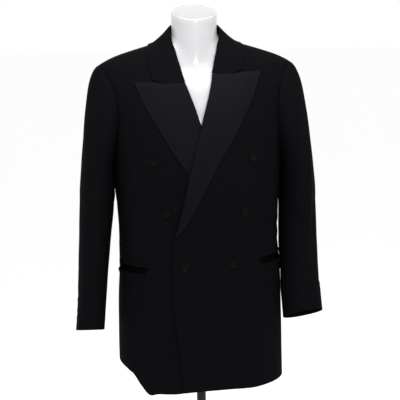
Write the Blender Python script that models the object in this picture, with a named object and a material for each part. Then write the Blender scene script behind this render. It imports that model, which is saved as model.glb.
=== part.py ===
# Double-breasted evening blazer, worn by a limbless torso form on a stand.
# Metres, +Z up. The origin is under the middle of the base plate and the blazer faces -Y,
# so the wearer's left is +X. A turn is the angle round the body, 0 at the front, 90 at the left side.

import math
from collections import namedtuple

import bmesh
import bpy
import numpy as np

# Cloth
CLOTH_WALL = 0.0020
SEAM_HALF_GAP = 0.0002
LAYER_GAP = 0.0008
NEXT_LAYER = CLOTH_WALL + LAYER_GAP
CENTRE_SEAM_SHARE = 0.6
FOLD_REACH = 0.75
CLEARING_STEPS = 4

# The left front lies over the right front and its lapel, up to a height and across to a line
OVERLAP_LIFT = 2 * NEXT_LAYER + LAYER_GAP
OVERLAP_FULL_X = 0.078
OVERLAP_X_FADE = 0.075
OVERLAP_FULL_HEIGHT = 1.275
OVERLAP_HEIGHT_FADE = 0.10

# Blazer
HEM_HEIGHT = 0.634
HEM_FADE = 0.16
BREAK_HEIGHT = 1.0087
NECK_SEAM_HEIGHT = 1.470
ARMHOLE_TOP = 1.4126
ARMHOLE_BOTTOM = 1.172
ARMHOLE_HALF_DEPTH = 0.072
ARMHOLE_STEPS = 24
FRONT_SEAM_STEP = 10
BACK_SEAM_STEP = 15
FRONT_SEAM_HEM_TURN = 86.0
BACK_SEAM_HEM_TURN = 122.0
FRONT_COLUMNS = 12
BACK_COLUMNS = 9
SKIRT_ROWS = (0.690, 0.750, 0.805, 0.855)
BACK_WAIST_ROWS = (0.900, 0.952)
CHEST_ROWS = (1.052, 1.098, 1.145)
PANEL_TOP_ROW = 1.190
SHOULDER_ROWS = 6

# Side vents
VENT_TOP = 0.850
VENT_START = 0.060
VENT_FADE = 0.050
VENT_UNDERLAP_TURN = 11.0
TUCK_START = 0.030
TUCK_FADE = 0.035
TUCK_PLACE = 0.40
TUCK_WIDTH = 0.30
VENT_FLARE = 0.009
VENT_FLARE_FADE = 0.200
VENT_FLARE_SHARE = 0.5

# Collar
COLLAR_LAYER = NEXT_LAYER
COLLAR_BULGE = -0.0030
COLLAR_LIFT_START = 1.425
COLLAR_LIFT_FADE = 0.045
COLLAR_CREST_RADIUS = 0.0010
COLLAR_STAND_SHARE = 0.55
COLLAR_FREE_HEIGHT = 1.500
COLLAR_FOLD_POINT = 3
COLLAR_SEATED_POINT = 5
COLLAR_SKEW_START = 3.5
NOTCH_OPENING = 0.0045
NOTCH_START_X = 0.074
NOTCH_REACH = 0.020
SEAM_OPENING = 0.0005

# Lapels
LAPEL_ROLL = 0.0035
LAPEL_SKEW = 0.0095
LAPEL_COLUMNS = 8
LAPEL_ROWS = 15
LAPEL_ROLL_PLACE = 0.010
LAPEL_ROLL_HALF = 0.022
LAPEL_ROLL_CLEAR = 1.285
LAPEL_ROLL_FADE = 0.030
LAPEL_ROLL_GAP = 0.0006
LAPEL_END = BREAK_HEIGHT + 0.006
LAPEL_TOP_SHARE = 0.12
LAPEL_SKEW_HOLD = 0.5

# Hip pockets
POCKET_FRONT_X = 0.126
POCKET_BACK_TURN = 84.0
POCKET_BACK_Y = -0.006
POCKET_FADE_IN = 0.024
POCKET_FADE_OUT = 0.018
POCKET_MOUTH = 0.016
POCKET_DEPTH = 0.008
POCKET_LIP = 0.004
JET_START = 0.004
JET_GAP = 0.0006
JET_COLUMNS = 10
JET_WIDTH = 0.006
JET_WALL = 0.0012
JET_SEAT = 0.0009

# Buttons
FRONT_BUTTON_RADIUS = 0.0105
CUFF_BUTTON_RADIUS = 0.0075
BUTTON_SEAT = 0.0004
BUTTON_SIDES = 10
CUFF_BUTTONS = 3
CUFF_BUTTON_PITCH = 0.017
CUFF_BUTTON_FIRST = 0.0305
CUFF_BUTTON_TURN = -27.0
BUTTON_RIM_POINTS = 8
PROBE_TURN = 6.0
PROBE_ALONG = 0.02

# A button's profile from its middle to its back, in shares of its radius and thickness
BUTTON_THICKNESS = 0.30
ProfilePoint = namedtuple("ProfilePoint", "radius height")
BUTTON_PROFILE = (
    ProfilePoint(0.0, 0.62),
    ProfilePoint(0.62, 0.62),
    ProfilePoint(0.74, 1.0),
    ProfilePoint(0.90, 1.0),
    ProfilePoint(1.0, 0.55),
    ProfilePoint(0.86, 0.0),
    ProfilePoint(0.0, 0.0),
)

# Sleeves: the under sleeve lies between these two steps of the armhole
SLEEVE_FRONT_SEAM = 8
SLEEVE_BACK_SEAM = 19
SLEEVE_START_GAP = 0.0005
CAP_LENGTH = 0.32
ARM_LENGTH = 0.36

# Torso form
FORM_DROP = 0.0027
FORM_BOTTOM = 0.700
FORM_COLUMNS = 28
NECK_MIDDLE_Y = 0.0025
NECK_HALF_WIDTH = 0.0555
NECK_HALF_DEPTH = 0.0575
NECK_TOP = 1.5368
NECK_TILT = math.radians(18.1)
NECK_RIM = 0.0015
NECK_MERGE = 14.0
NECK_START = 1.360
NECK_FADE = 0.060
NECK_MIDDLE_ROW = 0.55
NECK_MIDDLE_TILT = 0.7
FORM_SQUARENESS = 0.6

# Stand
BASE_RADIUS = 0.180
BASE_THICKNESS = 0.008
BASE_EDGE = 0.0015
SOCKET_RADIUS = 0.023
SOCKET_HEIGHT = 0.055
SOCKET_CHAMFER = 0.004
SOCKET_FLARE = 0.011
POLE_RADIUS = 0.0115
POLE_PLAY = 0.0004
CONTACT_GAP = 0.0003
ROUND_SIDES = 32

# In halves of the pocket's mouth: rows of the body at it, the middle and half width of the trough,
# where the lower lip starts and is full, and how far below it fades.
POCKET_ROWS = (-4.0, -2.0, -1.0, 0.0, 0.55, 1.0, 2.5)
POCKET_TROUGH = (0.15, 0.85)
POCKET_LIP_RISE = (0.2, 1.2)
POCKET_LIP_FADE = (2.0, 4.0)

# Sections of the outer cloth surface, from the hem to the neck. The shoulder slope is the sides'
# own curve above the armhole: there each section is narrower than the one below it.
BodyRing = namedtuple("BodyRing", "height half_width front_depth back_depth squareness middle_y")
BODY_RINGS = (
    BodyRing(0.600, 0.2040, 0.1450, 0.1400, 2.50, 0.000),
    BodyRing(0.720, 0.2035, 0.1465, 0.1420, 2.50, 0.000),
    BodyRing(0.820, 0.2020, 0.1465, 0.1390, 2.50, 0.000),
    BodyRing(0.920, 0.1970, 0.1450, 0.1300, 2.45, 0.000),
    BodyRing(1.000, 0.1955, 0.1465, 0.1260, 2.40, 0.000),
    BodyRing(1.080, 0.1990, 0.1500, 0.1300, 2.35, 0.000),
    BodyRing(1.150, 0.2028, 0.1500, 0.1370, 2.30, 0.000),
    BodyRing(1.250, 0.2140, 0.1390, 0.1370, 2.25, 0.002),
    BodyRing(1.320, 0.2280, 0.1200, 0.1240, 2.20, 0.005),
    BodyRing(1.370, 0.2400, 0.0980, 0.1030, 2.15, 0.008),
    BodyRing(1.400, 0.2390, 0.0800, 0.0850, 2.10, 0.010),
    BodyRing(1.4126, 0.2313, 0.0720, 0.0760, 2.05, 0.010),
    BodyRing(1.431, 0.1950, 0.0610, 0.0660, 2.00, 0.011),
    BodyRing(1.448, 0.1420, 0.0525, 0.0590, 2.00, 0.012),
    BodyRing(1.462, 0.0970, 0.0450, 0.0560, 2.00, 0.012),
    BodyRing(1.480, 0.0640, 0.0380, 0.0540, 2.00, 0.012),
)

# The largest folds of the body: a ridge where depth is positive, a trough where it is negative.
# Places are across the body and up it; face is -1 for the front and +1 for the back.
BodyFold = namedtuple("BodyFold", "face start_x start_height end_x end_height half_width depth")
BODY_FOLDS = (
    BodyFold(-1, -0.040, 0.985, -0.130, 0.930, 0.030, -0.0022),
    BodyFold(-1, 0.015, 0.975, 0.110, 0.925, 0.030, -0.0018),
    BodyFold(-1, -0.165, 1.170, -0.120, 0.990, 0.034, -0.0026),
    BodyFold(-1, 0.168, 1.180, 0.125, 1.000, 0.034, -0.0026),
    BodyFold(-1, -0.125, 0.880, -0.140, 0.640, 0.040, 0.0030),
    BodyFold(-1, 0.135, 0.880, 0.128, 0.640, 0.040, 0.0026),
    BodyFold(1, -0.150, 1.230, -0.125, 0.960, 0.036, 0.0034),
    BodyFold(1, 0.152, 1.240, 0.120, 0.980, 0.036, 0.0032),
    BodyFold(1, -0.090, 1.020, 0.085, 1.005, 0.036, -0.0030),
    BodyFold(1, -0.070, 0.830, -0.092, 0.650, 0.036, 0.0030),
    BodyFold(1, 0.066, 0.850, 0.086, 0.650, 0.036, 0.0028),
)

# Edge of each front from the hem to the neck seam: the front edge up to the break, then the roll line.
EdgeStation = namedtuple("EdgeStation", "height x")
FRONT_EDGE = (
    EdgeStation(0.600, -0.050),
    EdgeStation(0.753, -0.0657),
    EdgeStation(0.860, -0.0750),
    EdgeStation(0.930, -0.0752),
    EdgeStation(0.9966, -0.0740),
    EdgeStation(1.0087, -0.0690),
    EdgeStation(1.0617, -0.0536),
    EdgeStation(1.1562, -0.0320),
    EdgeStation(1.2766, 0.0010),
    EdgeStation(1.3680, 0.0295),
    EdgeStation(1.4060, 0.0410),
    EdgeStation(1.4500, 0.0560),
    EdgeStation(1.4700, 0.0640),
)

# How far the hem lies above its lowest height, round to the middle of the back.
HemRise = namedtuple("HemRise", "turn rise")
HEM_RISES = {
    1: (
        HemRise(-18.0, -0.008),
        HemRise(-8.0, -0.004),
        HemRise(2.0, -0.001),
        HemRise(12.0, 0.000),
        HemRise(20.0, -0.001),
        HemRise(32.0, -0.003),
        HemRise(60.0, 0.000),
        HemRise(95.0, 0.002),
        HemRise(155.0, 0.020),
    ),
    -1: (
        HemRise(-25.0, 0.006),
        HemRise(0.0, 0.003),
        HemRise(13.0, -0.008),
        HemRise(30.0, -0.010),
        HemRise(38.0, -0.013),
        HemRise(46.0, 0.009),
        HemRise(54.0, 0.032),
        HemRise(75.0, 0.048),
        HemRise(100.0, 0.044),
        HemRise(155.0, 0.020),
    ),
}

# Outline of a peak lapel laid on its front: across the top from the roll line, then down the edge.
OutlinePoint = namedtuple("OutlinePoint", "x height")
LAPEL_TOP = (
    OutlinePoint(0.0330, 1.3790),
    OutlinePoint(0.0824, 1.3753),
    OutlinePoint(0.1078, 1.3817),
    OutlinePoint(0.1520, 1.3812),
)
LAPEL_SIDE = (
    OutlinePoint(0.1520, 1.3812),
    OutlinePoint(0.1310, 1.3310),
    OutlinePoint(0.1125, 1.2960),
    OutlinePoint(0.0900, 1.2575),
    OutlinePoint(0.0643, 1.2135),
    OutlinePoint(0.0384, 1.1755),
    OutlinePoint(0.0128, 1.1300),
    OutlinePoint(-0.0102, 1.0900),
    OutlinePoint(-0.0357, 1.0445),
    OutlinePoint(-0.0640, 1.0120),
)

# The collar from the middle of the back to its end at the left notch. The fold is the top line,
# the edge is the free edge of the fall and the base is the seam to the neck.
CollarStation = namedtuple(
    "CollarStation", "fold_x fold_y fold_z edge_x edge_y edge_z base_x base_y base_z"
)
COLLAR_STATIONS = (
    CollarStation(0.0000, 0.0705, 1.5080, 0.0000, 0.0780, 1.4600, 0.0000, 0.0680, 1.4725),
    CollarStation(0.0270, 0.0640, 1.5075, 0.0450, 0.0720, 1.4590, 0.0310, 0.0620, 1.4725),
    CollarStation(0.0485, 0.0450, 1.5050, 0.0820, 0.0530, 1.4590, 0.0570, 0.0470, 1.4725),
    CollarStation(0.0600, 0.0120, 1.5005, 0.1080, 0.0140, 1.4590, 0.0740, 0.0140, 1.4725),
    CollarStation(0.0605, -0.0140, 1.4870, 0.1160, -0.0180, 1.4440, 0.0690, -0.0080, 1.4725),
    CollarStation(0.0565, -0.0320, 1.4600, 0.1165, -0.0450, 1.4240, 0.0560, -0.0300, 1.4600),
    CollarStation(0.0435, -0.0640, 1.4130, 0.1110, -0.0700, 1.3960, 0.0410, -0.0660, 1.4130),
    CollarStation(0.0340, -0.0830, 1.3795, 0.1078, -0.0770, 1.3850, 0.0315, -0.0840, 1.3795),
)
COLLAR_STEPS = 4
COLLAR_FOLD_RADIUS = 0.0029
COLLAR_FALL_COLUMNS = 6

# How far the form lies inside the cloth, at the side, front and back.
FormEase = namedtuple("FormEase", "height side front back")
FORM_EASES = (
    FormEase(0.700, 0.054, 0.058, 0.056),
    FormEase(0.780, 0.042, 0.048, 0.044),
    FormEase(0.880, 0.040, 0.047, 0.040),
    FormEase(1.000, 0.047, 0.048, 0.038),
    FormEase(1.120, 0.044, 0.038, 0.036),
    FormEase(1.220, 0.036, 0.020, 0.025),
    FormEase(1.300, 0.038, 0.010, 0.014),
    FormEase(1.360, 0.042, 0.009, 0.010),
    FormEase(1.395, 0.040, 0.009, 0.009),
    FormEase(1.412, 0.030, 0.007, 0.007),
    FormEase(1.426, 0.007, 0.005, 0.005),
    FormEase(1.434, 0.001, 0.004, 0.004),
    FormEase(1.450, 0.0003, 0.003, 0.003),
    FormEase(1.462, 0.006, 0.004, 0.003),
    FormEase(1.480, 0.018, 0.010, 0.004),
)
FORM_HEIGHTS = (
    0.700, 0.712, 0.760, 0.820, 0.890, 0.960, 1.030, 1.100, 1.170, 1.230, 1.280, 1.325, 1.360,
    1.388, 1.404, 1.416, 1.426, 1.436, 1.447, 1.458, 1.469, 1.480, 1.494,
)
FORM_BOTTOM_ROUNDING = 0.93

# A sleeve from below the armhole to the cuff. Pitch raises the section's front edge, lean raises
# its outer edge and yaw turns its front edge towards the body, in degrees.
SleeveRing = namedtuple("SleeveRing", "x y z half_width half_depth pitch lean yaw")
SLEEVE_RINGS = {
    1: (
        SleeveRing(0.2475, 0.000, 1.120, 0.0435, 0.079, 0.0, 0.0, 0.0),
        SleeveRing(0.2482, -0.008, 1.000, 0.0464, 0.070, 6.0, 0.0, 5.0),
        SleeveRing(0.2490, -0.028, 0.900, 0.0463, 0.060, 14.0, 2.0, 11.0),
        SleeveRing(0.2500, -0.046, 0.840, 0.0474, 0.053, 19.0, 5.0, 12.0),
        SleeveRing(0.2512, -0.062, 0.792, 0.0485, 0.047, 23.0, 8.0, 0.0),
    ),
    -1: (
        SleeveRing(0.2455, 0.000, 1.120, 0.0422, 0.080, 0.0, 0.0, 0.0),
        SleeveRing(0.2487, -0.001, 1.065, 0.0420, 0.077, 2.0, 0.0, 0.0),
        SleeveRing(0.2545, -0.004, 1.000, 0.0395, 0.074, 4.0, 0.0, 0.0),
        SleeveRing(0.2630, -0.018, 0.900, 0.0367, 0.067, 8.0, 0.0, 0.0),
        SleeveRing(0.2693, -0.034, 0.820, 0.0350, 0.061, 12.0, 1.0, 0.0),
        SleeveRing(0.2747, -0.047, 0.770, 0.0348, 0.058, 14.0, 1.0, 0.0),
    ),
}
SLEEVE_RING_ROWS = 9

# How the sleeve leaves the armhole: a pull away from the seam (out, forward, up) and a pull
# above the first section (out, rise), at four places round the armhole.
CapPull = namedtuple("CapPull", "turn out forward up ring_out ring_rise")
CAP_PULLS = (
    CapPull(0.0, 0.0270, 0.000, -0.0190, -0.022, 0.246),
    CapPull(90.0, 0.0260, 0.020, -0.0150, -0.006, 0.090),
    CapPull(180.0, 0.0008, 0.000, -0.0150, 0.000, 0.018),
    CapPull(270.0, 0.0260, -0.020, -0.0150, -0.006, 0.090),
    CapPull(360.0, 0.0270, 0.000, -0.0190, -0.022, 0.246),
)
CAP_STEPS = (0.0, 0.12, 0.25, 0.38, 0.52, 0.68, 0.84, 1.0)

# The largest folds of a sleeve: across it at a share of its length, round it at a turn.
SleeveFold = namedtuple("SleeveFold", "along turn slant half_length half_turn depth")
SLEEVE_FOLDS = (
    SleeveFold(0.46, 70.0, 0.0008, 0.045, 70.0, -0.0030),
    SleeveFold(0.62, 95.0, -0.0006, 0.050, 65.0, -0.0034),
    SleeveFold(0.54, 75.0, 0.0004, 0.045, 70.0, 0.0026),
    SleeveFold(0.80, 250.0, 0.0006, 0.050, 60.0, -0.0024),
)

# Front buttons: across the body and up it, seen on the outermost front at that place.
ButtonPlace = namedtuple("ButtonPlace", "name x height")
FRONT_BUTTONS = (
    ButtonPlace("button_top_right", -0.1110, 1.1900),
    ButtonPlace("button_top_left", 0.1180, 1.1940),
    ButtonPlace("button_middle_right", -0.0860, 1.0690),
    ButtonPlace("button_middle_left", 0.0940, 1.0650),
    ButtonPlace("button_low_right", -0.0455, 0.9400),
    ButtonPlace("button_low_left", 0.0650, 0.9420),
)

POCKET_HEIGHT = {1: 0.942, -1: 0.927}
SIDE_NAMES = {1: "left", -1: "right"}

WOOL = (0.008, 0.0085, 0.0095)
SATIN = (0.014, 0.015, 0.018)
BUTTON_BLACK = (0.006, 0.006, 0.007)
FORM_WHITE = (0.78, 0.79, 0.80)
STAND_BLACK = (0.020, 0.020, 0.022)

# Colour, roughness and metallic
WOOL_LOOK = (WOOL, 0.85, 0.0)
SATIN_LOOK = (SATIN, 0.38, 0.0)
BUTTON_LOOK = (BUTTON_BLACK, 0.22, 0.0)
FORM_LOOK = (FORM_WHITE, 0.18, 0.0)
STAND_LOOK = (STAND_BLACK, 0.35, 0.0)


def smooth(value):
    value = min(max(value, 0.0), 1.0)
    return value * value * (3.0 - 2.0 * value)


def bump(distance, half_width):
    if distance >= half_width:
        return 0.0
    return 0.5 * (1.0 + math.cos(math.pi * distance / half_width))


def mix(first, second, share):
    return first + (second - first) * share


def read_table(rows, key, value):
    """One row of a table at any value of its key column, on a smooth curve through the rows."""
    keys = [getattr(row, key) for row in rows]
    if value <= keys[0]:
        return rows[0]
    if value >= keys[-1]:
        return rows[-1]
    index = max(i for i, entry in enumerate(keys[:-1]) if entry <= value)
    before = max(index - 1, 0)
    after = min(index + 2, len(rows) - 1)
    span = keys[index + 1] - keys[index]
    share = (value - keys[index]) / span
    result = []
    for column in range(len(rows[0])):
        low, high = rows[index][column], rows[index + 1][column]
        slope_low = (high - rows[before][column]) / (keys[index + 1] - keys[before]) * span
        slope_high = (rows[after][column] - low) / (keys[after] - keys[index]) * span
        result.append(
            (2 * share**3 - 3 * share**2 + 1) * low
            + (share**3 - 2 * share**2 + share) * slope_low
            + (3 * share**2 - 2 * share**3) * high
            + (share**3 - share**2) * slope_high
        )
    return type(rows[0])(*result)


def along_line(points, share):
    """A point at a share of the length of an open line."""
    points = [np.array(point, float) for point in points]
    steps = [np.linalg.norm(b - a) for a, b in zip(points, points[1:])]
    left = share * sum(steps)
    for start, end, step in zip(points, points[1:], steps):
        if left <= step:
            return start + (end - start) * (left / step)
        left -= step
    return points[-1]


def body_ring(height):
    return read_table(BODY_RINGS, "height", height)


def front_edge_x(height):
    return read_table(FRONT_EDGE, "height", height).x


def shell_level(point):
    """Below zero inside the plain cloth surface, above zero outside it."""
    ring = body_ring(point[2])
    depth = ring.front_depth if point[1] < ring.middle_y else ring.back_depth
    across = (abs(point[0]) / ring.half_width) ** ring.squareness
    through = (abs(point[1] - ring.middle_y) / depth) ** ring.squareness
    return across + through - 1.0


def shell_slope(point, step=0.0004):
    slope = np.zeros(3)
    for axis in range(3):
        ahead, behind = point.copy(), point.copy()
        ahead[axis] += step
        behind[axis] -= step
        slope[axis] = (shell_level(ahead) - shell_level(behind)) / (2 * step)
    return slope


def shell_normal(point):
    slope = shell_slope(point)
    return slope / np.linalg.norm(slope)


def fold_height(point):
    """How far the folds lift the cloth at a place."""
    total = 0.0
    ring = body_ring(point[2])
    for fold in BODY_FOLDS:
        if fold.face * (point[1] - ring.middle_y) <= 0.0:
            continue
        start = np.array((fold.start_x, fold.start_height))
        along = np.array((fold.end_x, fold.end_height)) - start
        place = np.array((point[0], point[2])) - start
        share = float(np.dot(place, along) / np.dot(along, along))
        distance = np.linalg.norm(place - along * min(max(share, 0.0), 1.0))
        ends = bump(abs(share - 0.5), FOLD_REACH)
        total += fold.depth * bump(distance, fold.half_width) * ends
    return total


def pocket_height(point):
    """The gaping mouth of a hip pocket: a trough between its two edges, the lower edge proud."""
    side = 1 if point[0] > 0 else -1
    below = (POCKET_HEIGHT[side] - point[2]) / (POCKET_MOUTH / 2)
    if point[1] > 0.0 or below < -1.0:
        return 0.0
    fade_in = smooth((abs(point[0]) - POCKET_FRONT_X) / POCKET_FADE_IN)
    fade_out = smooth((POCKET_BACK_Y - point[1]) / POCKET_FADE_OUT)
    if below < 1.0:
        middle, half = POCKET_TROUGH
        start, reach = POCKET_LIP_RISE
        form = POCKET_LIP * smooth((below + start) / reach) - POCKET_DEPTH * bump(abs(below + middle), half)
    else:
        start, reach = POCKET_LIP_FADE
        form = POCKET_LIP * (1.0 - smooth((below - start) / reach))
    return form * fade_in * fade_out


def body_point(turn, height, lift):
    """A point of the cloth at a turn and a height, moved out by a lift."""
    ring = body_ring(height)
    angle = math.radians(turn)
    power = 2.0 / ring.squareness
    across = math.copysign(abs(math.sin(angle)) ** power, math.sin(angle))
    through = math.copysign(abs(math.cos(angle)) ** power, math.cos(angle))
    depth = ring.front_depth if through > 0 else ring.back_depth
    point = np.array((ring.half_width * across, ring.middle_y - depth * through, height))
    normal = shell_normal(point)
    return point + normal * (lift + fold_height(point) + pocket_height(point))


def turn_at_x(x, height):
    ring = body_ring(height)
    share = min(abs(x) / ring.half_width, 1.0)
    return math.copysign(math.degrees(math.asin(share ** (ring.squareness / 2.0))), x)


def clear_of_shell(point, need):
    """The point, moved out where it is less than the needed distance above the cloth surface."""
    point = np.array(point, float)
    for _ in range(CLEARING_STEPS):
        slope = shell_slope(point)
        size = np.linalg.norm(slope)
        short = need - shell_level(point) / size
        if short > 0:
            point = point + slope / size * short
    return point


def armhole_height(step):
    middle = (ARMHOLE_TOP + ARMHOLE_BOTTOM) / 2
    reach = (ARMHOLE_TOP - ARMHOLE_BOTTOM) / 2
    return middle + reach * math.cos(math.tau * step / ARMHOLE_STEPS)


def armhole_turn(step):
    """The turn of the armhole's edge, 0 steps at the shoulder, a quarter at the front."""
    ring = body_ring(armhole_height(step))
    offset = ARMHOLE_HALF_DEPTH * math.sin(math.tau * step / ARMHOLE_STEPS)
    depth = ring.front_depth if offset > 0 else ring.back_depth
    away = math.degrees(math.asin((abs(offset) / depth) ** (ring.squareness / 2.0)))
    return 90.0 - math.copysign(away, offset)


def gap_turn(height):
    return math.degrees(SEAM_HALF_GAP / body_ring(height).half_width)


def seam_turn(height, step, hem_turn):
    """A straight seam from the armhole's edge to the hem."""
    share = (height - HEM_HEIGHT) / (armhole_height(step) - HEM_HEIGHT)
    return mix(hem_turn, armhole_turn(step), min(max(share, 0.0), 1.0))


def with_hem(height, turn, side):
    fade = 1.0 - smooth((height - HEM_HEIGHT) / HEM_FADE)
    return height + read_table(HEM_RISES[side], "turn", turn).rise * fade


def finish(name, colour, roughness, metallic):
    material = bpy.data.materials.new(name + "_finish")
    material.use_nodes = True
    shader = material.node_tree.nodes["Principled BSDF"]
    shader.inputs["Base Color"].default_value = (*colour, 1.0)
    shader.inputs["Roughness"].default_value = roughness
    shader.inputs["Metallic"].default_value = metallic
    return material


def add_solid(name, points, faces, look, sharp_angle=50.0):
    mesh = bpy.data.meshes.new(name)
    mesh.from_pydata([tuple(point) for point in points], [], faces)
    shaped = bmesh.new()
    shaped.from_mesh(mesh)
    bmesh.ops.recalc_face_normals(shaped, faces=shaped.faces)
    shaped.to_mesh(mesh)
    shaped.free()
    mesh.shade_smooth()
    mesh.set_sharp_from_angle(angle=math.radians(sharp_angle))
    mesh.materials.append(finish(name, *look))
    solid = bpy.data.objects.new(name, mesh)
    bpy.context.scene.collection.objects.link(solid)
    return solid


def add_wall(name, outer, inner, look):
    """A closed wall between two grids of points, both triangulated along the same diagonals."""
    rows, columns = len(outer), len(outer[0])
    points = [point for row in outer for point in row] + [point for row in inner for point in row]
    behind = rows * columns
    faces = []
    for row in range(rows - 1):
        for column in range(columns - 1):
            corner = row * columns + column
            across, up = corner + 1, corner + columns
            far = up + 1
            for triangle in ((corner, across, far), (corner, far, up)):
                faces.append(triangle)
                faces.append(tuple(behind + index for index in reversed(triangle)))
    border = [column for column in range(columns)]
    border += [row * columns + columns - 1 for row in range(1, rows)]
    border += [(rows - 1) * columns + column for column in range(columns - 2, -1, -1)]
    border += [row * columns for row in range(rows - 2, 0, -1)]
    for start, end in zip(border, border[1:] + border[:1]):
        faces.append((start, behind + start, end))
        faces.append((end, behind + start, behind + end))
    return add_solid(name, points, faces, look)


def add_body_panel(name, side, heights, columns, place, look, wall=CLOTH_WALL):
    """A panel of the body. place gives turn, height and lift for a share across and a height."""
    outer, inner = [], []
    for height in heights:
        placed = [place(column / columns, height) for column in range(columns + 1)]
        outer.append([body_point(side * turn, level, lift) for turn, level, lift in placed])
        inner.append([body_point(side * turn, level, lift - wall) for turn, level, lift in placed])
    return add_wall(name, outer, inner, look)


def overlap_lift(x, height):
    """The left front lies over the right front and its lapel where the two overlap."""
    across = 1.0 - smooth((x - OVERLAP_FULL_X) / OVERLAP_X_FADE)
    up = 1.0 - smooth((height - OVERLAP_FULL_HEIGHT) / OVERLAP_HEIGHT_FADE)
    return OVERLAP_LIFT * across * up


def front_lift(side, x, height):
    return overlap_lift(x, height) if side > 0 else 0.0


def lower_heights(side):
    """Rows of the body below the armhole, with closer rows at the pocket's mouth."""
    mouth = POCKET_HEIGHT[side]
    half = POCKET_MOUTH / 2
    pocket_rows = [mouth + row * half for row in POCKET_ROWS]
    return [HEM_HEIGHT, *SKIRT_ROWS, *pocket_rows, BREAK_HEIGHT, *CHEST_ROWS]


def shoulder_heights():
    steps = range(1, SHOULDER_ROWS + 1)
    return [mix(ARMHOLE_TOP, NECK_SEAM_HEIGHT, step / SHOULDER_ROWS) for step in steps]


def add_fronts():
    for side in (1, -1):
        arm_rows = [armhole_height(step) for step in range(FRONT_SEAM_STEP, -1, -1)]
        steps = dict(zip(arm_rows, range(FRONT_SEAM_STEP, -1, -1)))

        def outer_turn(height):
            if height in steps:
                return armhole_turn(steps[height])
            if height > ARMHOLE_TOP:
                return 90.0
            return seam_turn(height, FRONT_SEAM_STEP, FRONT_SEAM_HEM_TURN)

        def place(share, height):
            inner = turn_at_x(front_edge_x(height), height)
            outer = outer_turn(height) - gap_turn(height)
            turn = mix(inner, outer, share)
            level = with_hem(height, turn, side)
            x = body_point(turn, level, 0.0)[0]
            return turn, level, front_lift(side, x, level)

        heights = lower_heights(side) + arm_rows + shoulder_heights()
        add_body_panel(f"front_{SIDE_NAMES[side]}", side, heights, FRONT_COLUMNS, place, WOOL_LOOK)


def vent_share(height):
    return 1.0 - smooth((height - VENT_TOP + VENT_START) / VENT_FADE)


def add_side_panels():
    columns = BACK_SEAM_STEP - FRONT_SEAM_STEP
    for side in (1, -1):

        def place(share, height):
            step = FRONT_SEAM_STEP + share * columns
            front = seam_turn(height, FRONT_SEAM_STEP, FRONT_SEAM_HEM_TURN) + gap_turn(height)
            back = seam_turn(height, BACK_SEAM_STEP, BACK_SEAM_HEM_TURN) - gap_turn(height)
            under = vent_share(height)
            back += VENT_UNDERLAP_TURN * under
            turn = mix(front, back, share)
            if height > CHEST_ROWS[-1]:
                inset = gap_turn(height) * (1.0 - 2.0 * share)
                return armhole_turn(step) + inset, armhole_height(step), 0.0
            tucked = smooth((VENT_TOP + TUCK_START - height) / TUCK_FADE)
            tucked *= smooth((share - TUCK_PLACE) / TUCK_WIDTH)
            return turn, with_hem(height, turn, side), -NEXT_LAYER * tucked

        rows = lower_heights(side) + [PANEL_TOP_ROW]
        add_body_panel(f"side_panel_{SIDE_NAMES[side]}", side, rows, columns, place, WOOL_LOOK)


def add_backs():
    for side in (1, -1):
        arm_rows = [armhole_height(step) for step in range(BACK_SEAM_STEP, ARMHOLE_STEPS + 1)]
        steps = dict(zip(arm_rows, range(BACK_SEAM_STEP, ARMHOLE_STEPS + 1)))

        def outer_turn(height):
            if height in steps:
                return armhole_turn(steps[height])
            if height > ARMHOLE_TOP:
                return 90.0
            return seam_turn(height, BACK_SEAM_STEP, BACK_SEAM_HEM_TURN)

        def place(share, height):
            outer = outer_turn(height) + gap_turn(height)
            middle = 180.0 - CENTRE_SEAM_SHARE * gap_turn(height)
            turn = mix(outer, middle, share)
            flare = VENT_FLARE * smooth((VENT_TOP - height) / VENT_FLARE_FADE)
            flare *= 1.0 - smooth(share / VENT_FLARE_SHARE)
            return turn, with_hem(height, turn, side), flare

        heights = [HEM_HEIGHT, *SKIRT_ROWS, *BACK_WAIST_ROWS, BREAK_HEIGHT, *CHEST_ROWS, PANEL_TOP_ROW]
        heights += arm_rows + shoulder_heights()
        add_body_panel(f"back_{SIDE_NAMES[side]}", side, heights, BACK_COLUMNS, place, WOOL_LOOK)


def lapel_outline_top(side, share):
    x, height = along_line(LAPEL_TOP, share)
    return x, height + side * LAPEL_SKEW


def roll_line_x(height):
    return front_edge_x(height) + LAPEL_ROLL_GAP


def roll_lift(distance):
    """A soft ridge beside the roll line, at a distance from it."""
    return LAPEL_ROLL * bump(abs(distance - LAPEL_ROLL_PLACE), LAPEL_ROLL_HALF)


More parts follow.
